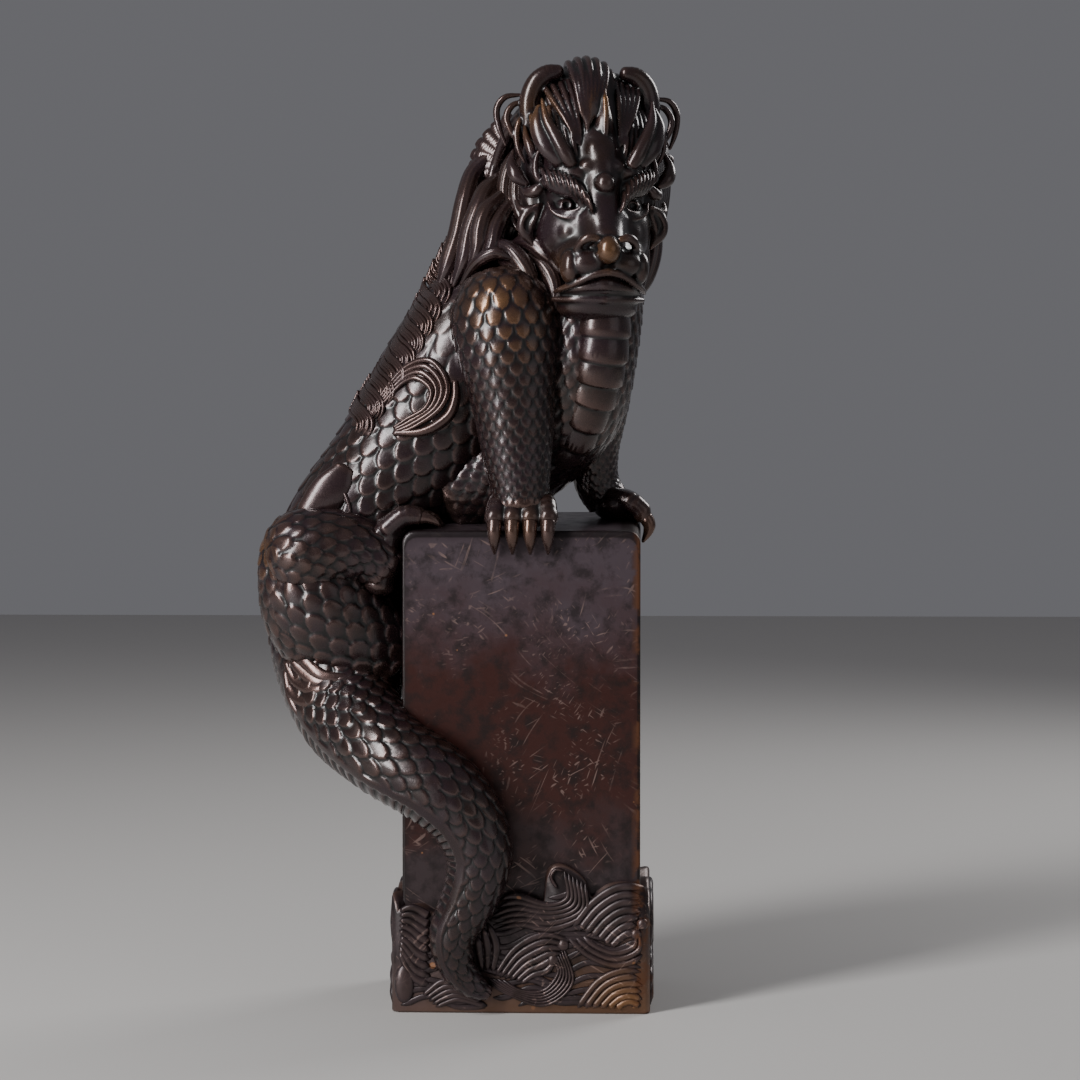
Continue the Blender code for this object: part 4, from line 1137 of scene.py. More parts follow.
def sculpt_temples(clay):
    """Knobs at the ends of small locks, and a leaf-shaped ear on each temple."""
    clay.stroke([(21, 4, 24, 7), (22, 6, 8, 8), (21, 6, -8, 8), (18, 6, -22, 8)], soft=2, pair=True)
    for rows in (
        [(28.5, 0, 33, 0.6), (28.6, -4, 27, 1.5), (26.9, -6.4, 21.5, 2.2), (25.6, -7, 17, 1.0)],
        [(24, -9, 22, 0.6), (25.6, -9, 16, 1.4), (25.2, -10, 10.4, 1.7), (22.6, -12, 7, 0.7)],
        [(33, 2, 22, 0.8), (34.4, -1, 16, 2.2), (32.6, -3.4, 11, 3.2), (28.4, -5, 7.4, 1.2)],
        [(30, -2, 6, 0.8), (28, -6, 3.8, 2.2), (25, -9, 4.6, 2.6), (23, -10.6, 7, 1.2)],
        [(32, 0, 1, 0.8), (31, -4, -3, 1.6), (27.6, -6.4, -3.4, 1.6), (24.4, -8.4, -1.4, 0.7)],
    ):
        clay.stroke(rows, (0.4, -1, 0), 0.4, pair=True)
    for rows in (
        [(27, 2, 43, 0.8), (33, 2, 41.5, 1.3), (36, 2, 36.5, 1.5), (34.4, 1, 30.5, 1.3), (31, 0, 25, 0.7)],
        [
            (26, 3, 37, 0.8), (30, 1, 35.5, 1.2), (32, 0, 29.5, 1.4), (31.4, -1, 22.5, 1.2),
            (29, -2, 17, 0.7),
        ],
        [(30, 4, 46, 0.8), (36, 5, 45, 1.3), (39.4, 6, 40, 1.5), (38.6, 5, 32, 1.3), (36, 4, 25, 0.7)],
    ):
        clay.stroke(rows, (0.2, -1, 0), 0.3, pair=True)
    ear = [
        (23, -6, -2, 1.6, 2.4), (27, -6, -5.5, 4.0, 2.6), (28.8, -4.4, -11.5, 3.8, 2.4),
        (25.5, -4, -18.5, 0.7, 0.8),
    ]
    clay.stroke(ear, (-0.1, -1, 0.2), 0.4, pair=True)
    clay.stroke(
        [(26.4, -9.4, -5, 1.3), (29, -8, -10, 1.7), (27, -7, -15.5, 0.6)], (0, -1, 0.2), 0.3,
        cut=True, pair=True,
    )


def turn_head(points):
    """Sets the head's points in their place on the neck."""
    turn = math.radians(HEAD_TURN)
    spin = np.array(
        [[math.cos(turn), -math.sin(turn), 0], [math.sin(turn), math.cos(turn), 0], [0, 0, 1]]
    )
    return points @ spin.T + HEAD_AT


def ridges(pitch, height, rim):
    """Relief of fine ridges across a fin, with a raised rim."""

    def relief(run, angle, radius):
        wave = 0.5 + 0.5 * np.cos(run * 2 * math.pi / pitch)
        front = np.clip(np.cos(angle), 0, 1) ** 0.7
        return height * wave[:, None] * front[None, :] + rim * (np.abs(np.sin(angle)) ** 8)[None, :]

    return relief


def flutes(count, height):
    """Relief of strands along a lock."""

    def relief(run, angle, radius):
        wave = np.abs(np.cos(angle * count / 2)) ** 0.6
        share = np.clip(np.sin(math.pi * run / run[-1]) * 2, 0.15, 1)
        return height * share[:, None] * wave[None, :] * (radius / radius.max())[:, None]

    return relief


def lobes(root, lean, first, last, count, reach, wide, thick, curl):
    """The ribbed lobes of a fin, spread from one angle to another, each bent by curl at its tip."""
    shapes = []
    for step in range(count):
        share = step / (count - 1)
        angle = math.radians(first + (last - first) * share)
        tipped = angle + math.radians(curl)
        way = np.array([math.cos(angle), 0, math.sin(angle)])
        bent = np.array([math.cos(tipped), 0, math.sin(tipped)])
        length = reach[0] + (reach[1] - reach[0]) * share
        start = np.array(root) + way * 2
        middle = start + way * length * 0.5 + np.array(lean) * 0.4
        tip = middle + bent * length * 0.48 + np.array(lean) * 0.6
        rows = [
            (*start, wide * 0.6, thick), (*middle, wide, thick),
            (*(middle * 0.3 + tip * 0.7), wide, thick * 0.9),
            (*tip, wide * 0.55, thick * 0.5),
        ]
        shapes.append(tube(rows, (0, -1, 0.15), 90, 28, ridges(1.1, 0.10, 0.35)))
    return shapes


# Locks of the mane on the near side: places across, ahead and up, half width and half thickness.
MANE_LOCKS = [
    [
        (-14, 5, 366, 3, 3), (-21.8, 4, 358, 4, 4), (-25.3, -2, 345.6, 4.4, 4.2),
        (-28.1, -6, 330.2, 4.6, 4.4), (-31.8, -9, 318.3, 4.2, 4), (-37.3, -9, 306, 0.8, 0.9),
    ],
    [
        (-9, 0, 356, 3, 3), (-15.5, -7, 349, 4.4, 4), (-18.8, -12, 341, 4.6, 4.2),
        (-22.6, -15, 330, 4.4, 4.2), (-24.6, -17, 319.5, 4, 3.8), (-30, -16, 307, 0.8, 0.9),
    ],
    [
        (-5, -5, 350, 3, 3), (-11, -12, 343.5, 4, 4), (-15.6, -17, 338.5, 4.2, 4),
        (-18, -20, 330.5, 4.2, 4), (-18.9, -21.6, 322, 3.4, 3.6), (-24, -20.5, 311, 0.7, 0.8),
    ],
    [
        (-3, -9, 345, 3, 3), (-8, -15, 338.5, 3.6, 3.6), (-11, -20, 331.5, 4, 3.8),
        (-12.9, -24, 323, 3.2, 3.4), (-18, -25.6, 315, 0.7, 0.8),
    ],
    [
        (-26, -20, 308, 1, 1.2), (-19, -27.5, 316.5, 2.2, 2.6), (-11, -31, 320.2, 2.4, 2.8),
        (-3.5, -31.5, 317.6, 0.8, 0.9),
    ],
    [
        (-4.5, -19, 325, 1.4, 1.6), (3.4, -25.5, 325.6, 4, 3.4), (11.1, -29.5, 320, 4.4, 3.4),
        (18.8, -31.5, 312.4, 1, 1),
    ],
    [
        (-12.5, -21, 326, 1.4, 1.6), (-5.1, -27.8, 322, 3.2, 3), (2.2, -32, 313.2, 3.6, 3.4),
        (7, -34.5, 303, 0.8, 0.9),
    ],
    [
        (-9.4, -26, 317.6, 1.4, 1.6), (-2.4, -32, 312, 2.8, 2.8), (2.8, -36.5, 304, 3, 3),
        (4.4, -42, 295.5, 0.8, 0.9),
    ],
    [
        (3, -24, 320, 2, 2), (9.6, -28.6, 314.6, 3.6, 3.2), (14.2, -32, 306, 3.4, 3.2),
        (14, -34, 293, 0.8, 0.9),
    ],
    [
        (12, -22, 322, 2.4, 2.4), (18.4, -27, 312.6, 3.4, 3.2), (21.4, -29.6, 302, 3, 3),
        (20, -31, 291.6, 0.8, 0.9),
    ],
    [
        (-14, -1, 343, 3, 3), (-23, -4, 330, 5, 5), (-30.5, -6, 315, 5, 5), (-35, -6, 302, 3.4, 3.2),
        (-38.5, -6, 290, 0.8, 0.8),
    ],
    [
        (-10, 6, 345, 4, 4), (-22, 5, 334, 5.5, 5), (-32, 4, 320, 5.5, 5), (-38, 3, 305, 3.4, 3),
        (-41.5, 2, 292, 0.8, 0.8),
    ],
]

# Locks that fall between the fins and the ear.
TEMPLE_LOCKS = [
    [
        (-1, -4, 369, 2, 2), (-6, -7, 359, 3.4, 3), (-8, -10, 348, 3.4, 3),
        (-6, -14, 338, 2.6, 2.6), (-2, -18, 331, 0.8, 0.8),
    ],
    [
        (2, -8, 366, 2, 2), (-1.5, -12, 357, 3, 2.6), (-3, -15, 347, 3, 2.6),
        (-1, -18, 338, 2.2, 2.2), (2, -21, 332, 0.7, 0.8),
    ],
]

# Plainer locks at the back of the neck.
BACK_LOCKS = [
    [
        (44 - 12 * step, 14, 380, 2, 2), (42 - 12 * step, 20, 364, 5.4, 4),
        (37 - 12 * step, 24, 346, 5.6, 4.4),
        (31 - 12 * step, 26, 328, 5, 4), (26 - 11 * step, 25, 310 - 4 * (step % 2), 0.9, 0.9),
    ]
    for step in range(5)
]

# The same on the far side of the neck, where little of it shows.
FAR_LOCKS = [
    [
        (44, 4, 352, 3, 3), (52, 2, 340, 4.6, 4.4), (55, 0, 326, 4.4, 4.2), (52.5, -2, 312, 3.4, 3.4),
        (47, -6, 300, 0.8, 0.9),
    ],
    [
        (40, -2, 344, 3, 3), (47, -6, 333, 4.4, 4), (50, -8, 320, 4, 3.8), (48, -12, 306, 3, 3),
        (43, -15, 296, 0.8, 0.9),
    ],
    [
        (36, 12, 360, 5, 5), (49, 13, 344, 5, 4.8), (52, 12, 327, 4.8, 4.4), (49, 10, 312, 3.4, 3.4),
        (43, 7, 299, 0.8, 0.9),
    ],
]


def locks(table):
    """Fluted locks that overlap."""
    return [tube(rows, (-0.25, -1, 0.15), 70, 42, flutes(13, 0.42)) for rows in table]


def mane():
    """The fins behind the head and the locks that fall over the shoulders."""
    near_nape = [
        (26, 0, 386, 5, 4), (25, 3, 378, 17, 11), (22, 4, 358, 27, 19), (8, 4, 336, 27, 21),
        (0, 8, 316, 24, 19),
        (-5, 9, 300, 14, 12), (-8, 9, 292, 3, 3),
    ]
    far_nape = [
        (34, 0, 388, 5, 4), (35, 3, 378, 16, 11), (37, 6, 354, 23, 18), (36, 6, 328, 21, 17),
        (33, 4, 310, 13, 11),
        (31, 3, 300, 3, 3),
    ]
    shapes = [tube(rows, (0, -1, 0), 110, 240, flutes(30, 1.5)) for rows in (near_nape, far_nape)]
    shapes += locks(BACK_LOCKS)
    shapes += lobes((-3, 1, 358), (0, 5, 0), 98, 178, 7, (24, 16), 3.4, 2.4, 8)
    shapes += lobes((-3, 6, 356), (0, 7, 0), 106, 188, 7, (25, 19), 3.4, 2.4, 8)
    shapes += lobes((43, 3, 362), (0, 4, 0), 84, -30, 7, (19, 17), 3.2, 2.6, -14)
    shapes += lobes((42, 8, 360), (0, 6, 0), 76, -44, 7, (22, 20), 3.2, 2.6, -14)
    shapes += locks(MANE_LOCKS)
    shapes += locks(TEMPLE_LOCKS)
    shapes += locks(FAR_LOCKS)
    return shapes


# The block.


def outline_points(spacing=2.0):
    """The block's outline seen from the front, with its round top corners, evenly spaced."""
    half, tall, turn = BLOCK_WIDTH / 2, BLOCK_HEIGHT, TOP_ROUND
    corners = [(-half + EDGE_BEVEL, 0, 0), (half - EDGE_BEVEL, 0, 0), (half, EDGE_BEVEL, 0)]
    for side, first in ((1, 0), (-1, 90)):
        for step in range(9):
            angle = math.radians(first + step * 11.25)
            place = (side * (half - turn) + turn * math.cos(angle), tall - turn + turn * math.sin(angle), 0)
            corners.append(place)
    corners = np.array([*corners, (-half, EDGE_BEVEL, 0), (-half + EDGE_BEVEL, 0, 0)])
    run = np.concatenate([[0], np.cumsum(np.linalg.norm(np.diff(corners, axis=0), axis=1))])
    at = np.linspace(0, run[-1], int(run[-1] / spacing), endpoint=False)
    return np.stack([np.interp(at, run, corners[:, 0]), np.interp(at, run, corners[:, 1])], axis=1)


def block_skin():
    """The block: rings over its front face, along its sides and over its back face."""
    outline = outline_points()
    middle = np.array((0, BLOCK_HEIGHT / 2))
    deep = BLOCK_DEPTH / 2
    rows = [(share, 0.0) for share in (*np.linspace(0.02, 0.74, 8), *np.linspace(0.76, 0.97, 10))]
    for step in range(5):
        angle = math.radians(step * 22.5)
        rows.append((1 - 0.021 * (1 - math.sin(angle)), EDGE_BEVEL * (1 - math.cos(angle))))
    back = [(share, 2 * deep - depth) for share, depth in reversed(rows)]
    rows += [(1.0, depth) for depth in np.linspace(EDGE_BEVEL + 1.5, 2 * deep - EDGE_BEVEL - 1.5, 38)]
    rows += back
    rings = []
    for share, depth in rows:
        flat = middle + (outline - middle) * share
        upper = np.clip(2 * flat[:, 1] / BLOCK_HEIGHT - 1, 0, 1)
        rise = TOP_RISE * (depth / (2 * deep)) * upper
        rings.append(np.stack([flat[:, 0], np.full(len(flat), depth - deep), flat[:, 1] + rise], axis=1))
    rings = np.array(rings)
    count, sides = rings.shape[:2]
    faces = ring_faces(count, sides)
    points = np.vstack([rings.reshape(-1, 3), rings[0].mean(axis=0), rings[-1].mean(axis=0)])
    last = (count - 1) * sides
    for side in range(sides):
        pair = (side, (side + 1) % sides)
        faces.append((len(points) - 2, pair[1], pair[0]))
        faces.append((len(points) - 1, last + pair[0], last + pair[1]))
    return points, faces


def foot_columns():
    """Places round the foot: the face, the share along it and the height of the waves there."""
    columns = [(0, u, v) for u, v in curve_through([(u, v, 0) for u, v in FRONT_SKYLINE], 70)[:, :2]]
    for face in (1, 2, 3):
        for share in np.linspace(-0.5, 0.5, 41):
            columns.append((face, share, 0.90 + 0.06 * math.sin(share * 5 * math.pi)))
    return columns


def face_frame(face):
    """A face of the foot: the way along it, its normal, half its length and how far out it stands."""
    angle = face * math.pi / 2
    along = np.array((round(math.cos(angle)), round(math.sin(angle)), 0))
    normal = np.array((along[1], -along[0], 0))
    halves = (BLOCK_WIDTH / 2 + FOOT_STEP, BLOCK_DEPTH / 2 + FOOT_STEP)
    return along, normal, halves[face % 2], halves[1 - face % 2]


def foot_skin():
    """The foot, with its top cut to the outline of the waves and its edges rounded."""
    rings = []
    profile = [(FOOT_BEVEL / 2, 0, 0), (0.3, 0, 0.35), (0, 0, FOOT_BEVEL / 2)]
    profile += [(0, share, 0) for share in (0.25, 0.5, 0.75)]
    profile += [
        (0, 1, -FOOT_BEVEL), (0.35, 1, -0.8), (1.1, 1, -0.2), (2.2, 1, 0), (1.4 * FOOT_STEP, 1, -0.2),
    ]
    for inset, share, lift in profile:
        ring = []
        for face, u, v in foot_columns():
            along, normal, half, deep = face_frame(face)
            reach = half - FOOT_BEVEL
            place = along * u * 2 * reach * (1 - inset / half) + normal * (deep - inset)
            ring.append(place + np.array((0, 0, share * v * FOOT_HEIGHT + lift)))
        rings.append(ring)
    rings = np.array(rings)
    count, sides = rings.shape[:2]
    faces = ring_faces(count, sides)
    points = np.vstack([rings.reshape(-1, 3), rings[0].mean(axis=0)])
    faces += [(len(points) - 1, (side + 1) % sides, side) for side in range(sides)]
    return points, faces


def clear_of_tail(x, z):
    """Whether a wave line on the front stays beside the tail."""
    path = curve_through(TRUNK, 60)[30:]
    return bool((np.hypot(path[:, 0] - x, path[:, 2] - z) > path[:, 3] + 0.3 * WAVE_WIDTH).all())


def bundle(outer, inner, count, points):
    """Lines that pass from an outer curve to an inner one, each as wide as the room between them."""
    outer = curve_through([(*place, 0) for place in outer], points)[:, :2]
    inner = curve_through([(*place, 0) for place in inner], points)[:, :2]
    room = np.linalg.norm((outer - inner) * (BLOCK_WIDTH, FOOT_HEIGHT), axis=1) / max(count - 1, 1)
    half = np.clip(0.56 * room, 0.45 * WAVE_WIDTH, 1.6 * WAVE_WIDTH)
    return [np.column_stack([outer + (inner - outer) * share, half]) for share in np.linspace(0, 1, count)]


def rolling(middle, low, size, count, points):
    """A rolling wave: half rings over one another, as wide as the size."""
    lines = []
    for ring in range(count):
        reach = size * (1 - ring / count)
        angles = np.radians(np.linspace(172, 8, points))
        half = (1.6 + 0.9 * np.sin(angles)) * (1 - 0.1 * ring)
        across, up = middle + 0.5 * reach * np.cos(angles), low + reach * np.sin(angles)
        lines.append(np.stack([across, up, half], axis=1))
    return lines


def raised(line, face, tall=0.72):
    """Ridges along the stretches of a line that lie on the face and beside the tail."""
    along, normal, half, deep = face_frame(face)
    edge, runs = half - FOOT_BEVEL - WAVE_WIDTH * 0.6, [[]]
    for u, v, wide in line * (2 * half, FOOT_HEIGHT, 1):
        if abs(u) < edge and v > 1.3 * WAVE_WIDTH and (face or clear_of_tail(u, v)):
            runs[-1].append((*(along * u + normal * deep + np.array((0, 0, v))), wide))
        else:
            runs.append([])
    shapes = []
    for run in runs:
        if len(run) < 3:
            continue
        ends = [0.25, 0.7] + [1] * (len(run) - 4) + [0.7, 0.25] if len(run) > 3 else [0.4, 1, 0.4]
        rows = [
            (*row[:3], row[3] * end, tall * WAVE_HEIGHT * end)
            for row, end in zip(run, ends, strict=True)
        ]
        shapes.append(tube(rows, normal, 4 * len(rows), 18))
    return shapes


def swell_lines():
    """Low lines that cross the front between the waves, under their outline."""
    across = np.linspace(-0.48, 0.48, 60)
    top = curve_through([(u, v, 0) for u, v in FRONT_SKYLINE], 200)
    roof = np.interp(across, top[:, 0], top[:, 1])
    lines = []
    for step in range(13):
        high = 0.07 + 0.073 * step + 0.045 * np.sin(13 * across + 0.9 * step) + 0.02 * np.sin(31 * across)
        line = np.column_stack([across, high, np.full(len(across), 0.75 * WAVE_WIDTH)])
        for part in np.split(line, np.flatnonzero(np.diff(high < roof - 0.05)) + 1):
            if part[0, 1] < np.interp(part[0, 0], across, roof) - 0.05:
                lines.append(part)
    return lines


def knob(u, v, radius, thick, tall=0):
    """A smooth drop on the front of the foot."""
    middle = on_front(u, v)
    rows = []
    for step in range(9):
        angle = math.radians(-80 + 20 * step)
        size = math.cos(angle)
        high = middle[2] + max(radius, tall) * math.sin(angle)
        rows.append((middle[0], middle[1], high, radius * size, thick * size))
    return tube(rows, (0, -1, 0), 24, 24)


def waves():
    """The wave lines on the four faces of the foot, plainer on the sides and the back."""
    shapes = [
        knob(0.126, 0.43, 1.5 * WAVE_WIDTH, WAVE_HEIGHT), knob(0.165, 0.55, 1.5 * WAVE_WIDTH, WAVE_HEIGHT),
        knob(0.47, 0.72, 1.4 * WAVE_WIDTH, WAVE_HEIGHT), knob(0.445, 0.64, 1.4 * WAVE_WIDTH, WAVE_HEIGHT),
        knob(-0.45, 0.23, 2.4 * WAVE_WIDTH, 1.1 * WAVE_HEIGHT, 4.6 * WAVE_WIDTH),
    ]
    for line in swell_lines():
        shapes += raised(line, 0, 0.40)
    for outer, inner, count in FRONT_BUNDLES:
        for line in bundle(outer, inner, count, 22):
            shapes += raised(line, 0)
    for face in (1, 2, 3):
        lines = [line for middle in (-0.33, 0, 0.33) for line in rolling(middle, 0.03, 0.38, 4, 14)]
        lines += [line for middle in (-0.2, 0.2) for line in rolling(middle, 0.46, 0.42, 4, 14)]
        for line in lines:
            shapes += raised(line, face)
    return shapes


def note_groove_shade_and_ridge_wear(obj):
    """Marks the floor between the waves as hollow, where it takes painted shade, and their ridges as proud,
    where they wear.
    """
    mesh = obj.data
    places = np.empty(len(mesh.vertices) * 3)
    mesh.vertices.foreach_get("co", places)
    x, y, z = (places.reshape(-1, 3) / MM).T
    out = np.maximum(np.abs(x) - BLOCK_WIDTH / 2 - FOOT_STEP, np.abs(y) - BLOCK_DEPTH / 2 - FOOT_STEP)
    layer = mesh.attributes["proud"]
    proud = np.empty(len(x), np.float32)
    layer.data.foreach_get("value", proud)
    on_foot = (out > -0.2) & (z > 3)
    # painted shade on the floor between the ridges, turning to edge wear on their crests
    proud = np.where(on_foot, 0.34 + 0.40 * np.clip(out / (0.72 * WAVE_HEIGHT), 0, 1) ** 1.5, proud)
    layer.data.foreach_set("value", proud.astype(np.float32))


def on_front(u, v):
    """A place on the front of the foot, from shares across and up."""
    along, normal, half, deep = face_frame(0)
    return along * u * 2 * half + normal * deep + np.array((0, 0, v * FOOT_HEIGHT))


# The add-on's sizes, colours, operators and panel.


class DragonSizes(bpy.types.PropertyGroup):
    grain: bpy.props.FloatProperty(
        name="Cast Grain", description="Spacing of the points on scaled skin, in millimetres",
        default=0.78, min=0.5, max=3,
    )
    clay: bpy.props.FloatProperty(
        name="Clay Grain", description="Spacing of the points on the head, in millimetres",
        default=0.55, min=0.4, max=3,
    )


class DragonTints(bpy.types.PropertyGroup):
    plum: bpy.props.FloatVectorProperty(
        name="Plum", description="Patina on the flats", subtype="COLOR", default=linear("#2c1d22")[:3]
    )
    brown: bpy.props.FloatVectorProperty(
        name="Brown", description="Patina where it runs warm", subtype="COLOR",
        default=linear("#281915")[:3]
    )
    hollow: bpy.props.FloatVectorProperty(
        name="Hollow", description="Dirt and patina in the hollows", subtype="COLOR",
        default=linear("#0b0707")[:3]
    )
    worn: bpy.props.FloatVectorProperty(
        name="Worn", description="Edges where the patina is thin", subtype="COLOR",
        default=linear("#6e5650")[:3]
    )
    brass: bpy.props.FloatVectorProperty(
        name="Rubbed", description="Bright metal that hands have rubbed", subtype="COLOR",
        default=linear("#b58148")[:3]
    )


class BlockTints(bpy.types.PropertyGroup):
    grey: bpy.props.FloatVectorProperty(
        name="Grey", description="Patina at the top", subtype="COLOR", default=linear("#50444a")[:3]
    )
    red: bpy.props.FloatVectorProperty(
        name="Red", description="Patina in the middle", subtype="COLOR", default=linear("#3d1e19")[:3]
    )
    foot: bpy.props.FloatVectorProperty(
        name="Foot", description="Patina on the waves", subtype="COLOR", default=linear("#3c3032")[:3]
    )
    amber: bpy.props.FloatVectorProperty(
        name="Amber", description="Patina rubbed thin along the right edge", subtype="COLOR",
        default=linear("#6a4026")[:3]
    )
    # the dark tint is real mottling, and also the painted shade in the grooves between the waves
    dark: bpy.props.FloatVectorProperty(
        name="Dark", description="Mottling and hollows", subtype="COLOR", default=linear("#150c0c")[:3]
    )
    chip: bpy.props.FloatVectorProperty(
        name="Chip", description="Small tan chips", subtype="COLOR", default=linear("#9a6a48")[:3]
    )
    scratch: bpy.props.FloatVectorProperty(
        name="Scratch", description="Fine scratches", subtype="COLOR", default=linear("#9a8078")[:3]
    )
    worn: bpy.props.FloatVectorProperty(
        name="Worn", description="Rubbed edges", subtype="COLOR", default=linear("#6a5248")[:3]
    )
    brass: bpy.props.FloatVectorProperty(
        name="Brass", description="Bright metal on the waves", subtype="COLOR",
        default=linear("#a8743c")[:3]
    )


class STATUE_OT_torso(bpy.types.Operator):
    """Cast the scaled torso, with its scroll and hip leaf"""

    bl_idname = "statue.torso"
    bl_label = "Torso"

    def execute(self, context):
        shape = trunk_part(context.scene.dragon_sizes.grain, TORSO_RADIUS, 0.0, TORSO_SHARE)
        obj = mesh_object("torso", [shape, *flank(), *hip_leaf()])
        finish_piece(obj, dragon_material(), "dragon")
        return {"FINISHED"}


class STATUE_OT_tail(bpy.types.Operator):
    """Cast the tail that lies across the block, with the fin below the thigh"""

    bl_idname = "statue.tail"
    bl_label = "Tail"

    def execute(self, context):
        shape = trunk_part(context.scene.dragon_sizes.grain, TAIL_RADIUS, TORSO_SHARE, 1.0)
        obj = mesh_object("tail", [shape, *leaf_fin()])
        finish_piece(obj, dragon_material(), "dragon")
        return {"FINISHED"}


class STATUE_OT_chest(bpy.types.Operator):
    """Cast the chest, its belly plates and the crest of hair down the back"""

    bl_idname = "statue.chest"
    bl_label = "Chest and Crest"

    def execute(self, context):
        shapes = [
            tube(CHEST, (0.3, -1, 0), 190, 200, scales(chest_scale, 0.15, 0.45)),
            tube(BELLY, (0.5, -0.85, 0), 220, 70, plates(9.6, 1.2)),
            *near_tufts(),
            *tufts(),
        ]
        obj = mesh_object("chest", shapes)
        finish_piece(obj, dragon_material(), "dragon")
        return {"FINISHED"}


class STATUE_OT_forelegs(bpy.types.Operator):
    """Cast the forelegs and the paws that hold the top of the block"""

    bl_idname = "statue.forelegs"
    bl_label = "Forelegs"

    def execute(self, context):
        grain = context.scene.dragon_sizes.grain
        shapes = [
            limb(NEAR_ARM, grain, scales(limb_scale, 0.16, 0.35)),
            limb(FAR_ARM, grain, scales(limb_scale, 0.16, 0.35)),
            *fore_paws(),
        ]
        obj = mesh_object("forelegs", shapes)
        finish_piece(obj, dragon_material(), "dragon")
        return {"FINISHED"}


class STATUE_OT_hindlegs(bpy.types.Operator):
    """Cast the hind legs and the feet that grip the left edge of the block"""

    bl_idname = "statue.hindlegs"
    bl_label = "Hind Legs"

    def execute(self, context):
        grain = context.scene.dragon_sizes.grain
        shapes = hind_feet()
        for rows, size in ((THIGH, thigh_scale), (SHIN, shin_scale), (KNEE, shin_scale)):
            leg = limb(rows, grain, scales(size, 0.18, 0.3))
            shapes += [leg, mirrored(leg, 1)]
        obj = mesh_object("hindlegs", shapes)
        finish_piece(obj, dragon_material(), "dragon")
        return {"FINISHED"}


class STATUE_OT_head(bpy.types.Operator):
    """Sculpt the head with its horns, brows and hair"""

    bl_idname = "statue.head"
    bl_label = "Head"

    def execute(self, context):
        clay = Clay((-42, -46, -58), (42, 46, 66), context.scene.dragon_sizes.clay)
        sculpt_face(clay)
        sculpt_brows(clay)
        sculpt_temples(clay)
        sculpt_hair(clay)
        sculpt_horns(clay)
        points, faces = clay.surface()
        obj = mesh_object("head", [(turn_head(points), faces)])
        finish_piece(obj, dragon_material(), "dragon")
        return {"FINISHED"}


class STATUE_OT_mane(bpy.types.Operator):
    """Cast the fins behind the head and the locks that fall over the shoulders"""

    bl_idname = "statue.mane"
    bl_label = "Mane"

    def execute(self, context):
        obj = mesh_object("mane", mane())
        finish_piece(obj, dragon_material(), "dragon")
        return {"FINISHED"}


class STATUE_OT_pillar(bpy.types.Operator):
    """Cast the block and the waves round its foot"""

    bl_idname = "statue.pillar"
    bl_label = "Block"

    def execute(self, context):
        skin = block_skin()
        obj = mesh_object("block", [skin, foot_skin(), *waves()])
        material = block_patina("mottled_slab_bronze", colours_of(context.scene.block_tints))
        finish_piece(obj, material, "pillar", kept=len(skin[0]))
        # paints shade into the grooves between the waves and marks their ridges for wear
        note_groove_shade_and_ridge_wear(obj)
        return {"FINISHED"}


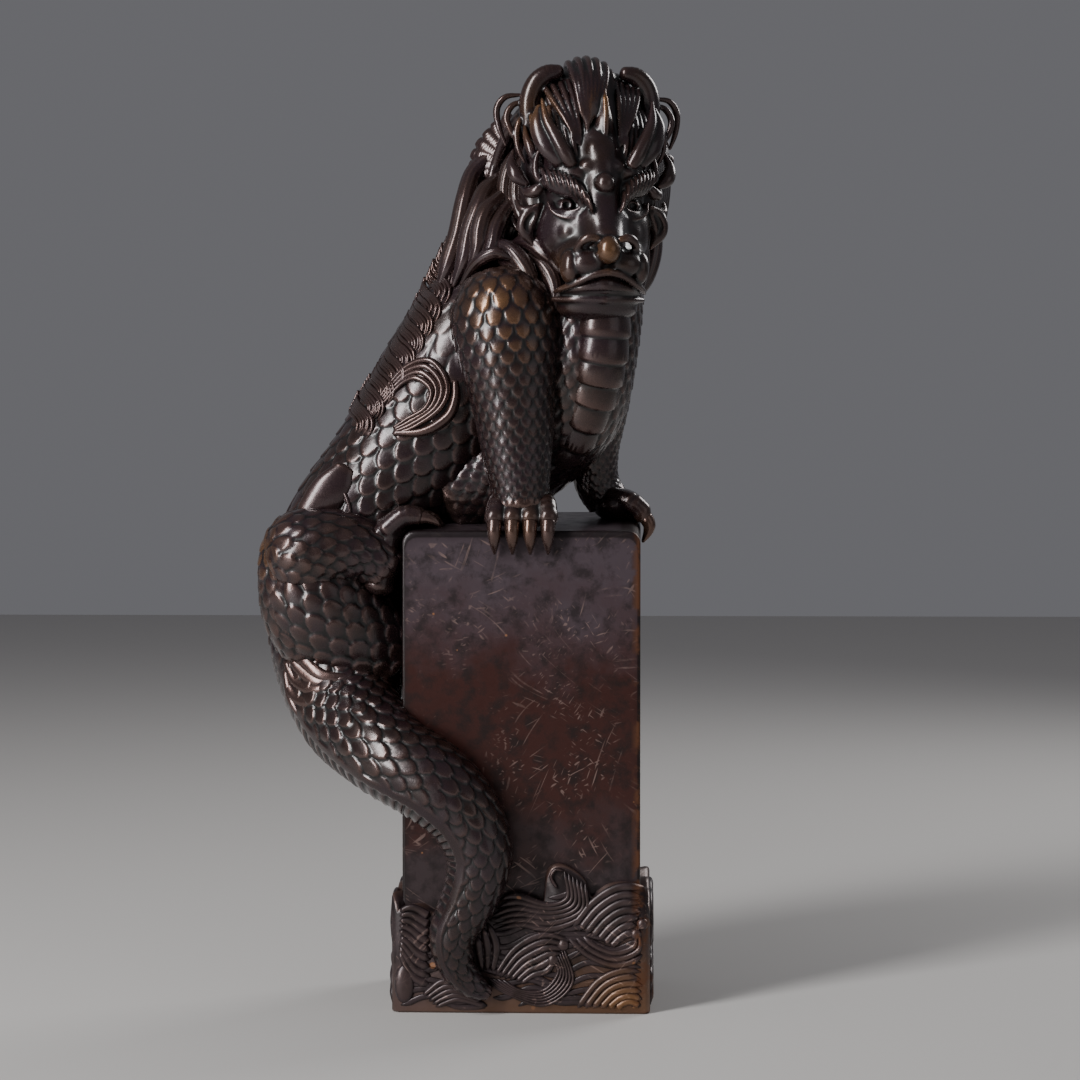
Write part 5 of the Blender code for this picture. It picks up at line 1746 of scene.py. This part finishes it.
class STATUE_OT_stage(bpy.types.Operator):
    """Set a pale floor, soft studio light and the camera"""

    bl_idname = "statue.stage"
    bl_label = "Stage"

    def execute(self, context):
        scene = context.scene
        mesh = bpy.data.meshes.new("floor")
        reach = 3.0
        mesh.from_pydata(
            [(-reach, -reach, 0), (reach, -reach, 0), (reach, reach, 0), (-reach, reach, 0)], [],
            [(0, 1, 2, 3)],
        )
        floor = bpy.data.objects.new("floor", mesh)
        scene.collection.objects.link(floor)
        material, tree = new_material("pale_floor")
        shader = add_node(
            tree, "ShaderNodeBsdfPrincipled", None, Base_Color=linear("#c6c3c0"), Roughness=0.7
        )
        add_node(tree, "ShaderNodeOutputMaterial", None, Surface=shader.outputs[0])
        mesh.materials.append(material)
        world = bpy.data.worlds.new("studio")
        world.use_nodes = True
        world.node_tree.nodes["Background"].inputs[0].default_value = linear("#c9c9d0")
        world.node_tree.nodes["Background"].inputs[1].default_value = 0.24
        scene.world = world
        aim = Vector((0, 0, 0.22))
        for name, place, size, power in (
            ("key", (-0.95, -0.95, 0.80), (0.30, 1.30), 30), ("fill", (1.3, -1.0, 0.5), (1.0, 1.0), 1.2),
            ("rim", (0.8, 0.8, 0.9), (0.5, 0.5), 6),
        ):
            data = bpy.data.lights.new(name, "AREA")
            data.energy = power
            data.shape = "RECTANGLE"
            data.size, data.size_y = size
            lamp = bpy.data.objects.new(name, data)
            lamp.location = place
            lamp.rotation_euler = (aim - lamp.location).to_track_quat("-Z", "Y").to_euler()
            scene.collection.objects.link(lamp)
        data = bpy.data.cameras.new("camera")
        data.sensor_width = 36
        data.lens = 90
        camera = bpy.data.objects.new("camera", data)
        camera.location = (0.050, -1.1715, 0.230)
        # how far off, to the left and down the camera looks, in the photo's pixels
        focal, left, down = 2700, 100, 73
        pitch = math.atan(down / math.hypot(focal, left))
        camera.rotation_euler = (math.pi / 2 - pitch, 0, math.atan(left / focal))
        scene.collection.objects.link(camera)
        scene.camera = camera
        return {"FINISHED"}


OPERATORS = (
    STATUE_OT_pillar, STATUE_OT_torso, STATUE_OT_tail, STATUE_OT_chest, STATUE_OT_forelegs,
    STATUE_OT_hindlegs, STATUE_OT_head, STATUE_OT_mane, STATUE_OT_stage,
)


class STATUE_PT_sidebar(bpy.types.Panel):
    bl_label = "Bronze Dragon"
    bl_space_type = "VIEW_3D"
    bl_region_type = "UI"
    bl_category = "Statue"

    def draw(self, context):
        for group in (context.scene.dragon_sizes, context.scene.dragon_tints, context.scene.block_tints):
            for key in own_keys(group):
                self.layout.prop(group, key)
        for operator in OPERATORS:
            self.layout.operator(operator.bl_idname)


GROUPS = (("dragon_sizes", DragonSizes), ("dragon_tints", DragonTints), ("block_tints", BlockTints))


def register():
    for name, group in GROUPS:
        bpy.utils.register_class(group)
        setattr(bpy.types.Scene, name, bpy.props.PointerProperty(type=group))
    for operator in OPERATORS:
        bpy.utils.register_class(operator)
    bpy.utils.register_class(STATUE_PT_sidebar)


def unregister():
    bpy.utils.unregister_class(STATUE_PT_sidebar)
    for operator in reversed(OPERATORS):
        bpy.utils.unregister_class(operator)
    for name, group in reversed(GROUPS):
        delattr(bpy.types.Scene, name)
        bpy.utils.unregister_class(group)


def main():
    register()
    for step in ("pillar", "torso", "tail", "chest", "forelegs", "hindlegs", "head", "mane", "stage"):
        getattr(bpy.ops.statue, step)()


if __name__ == "__main__":
    main()
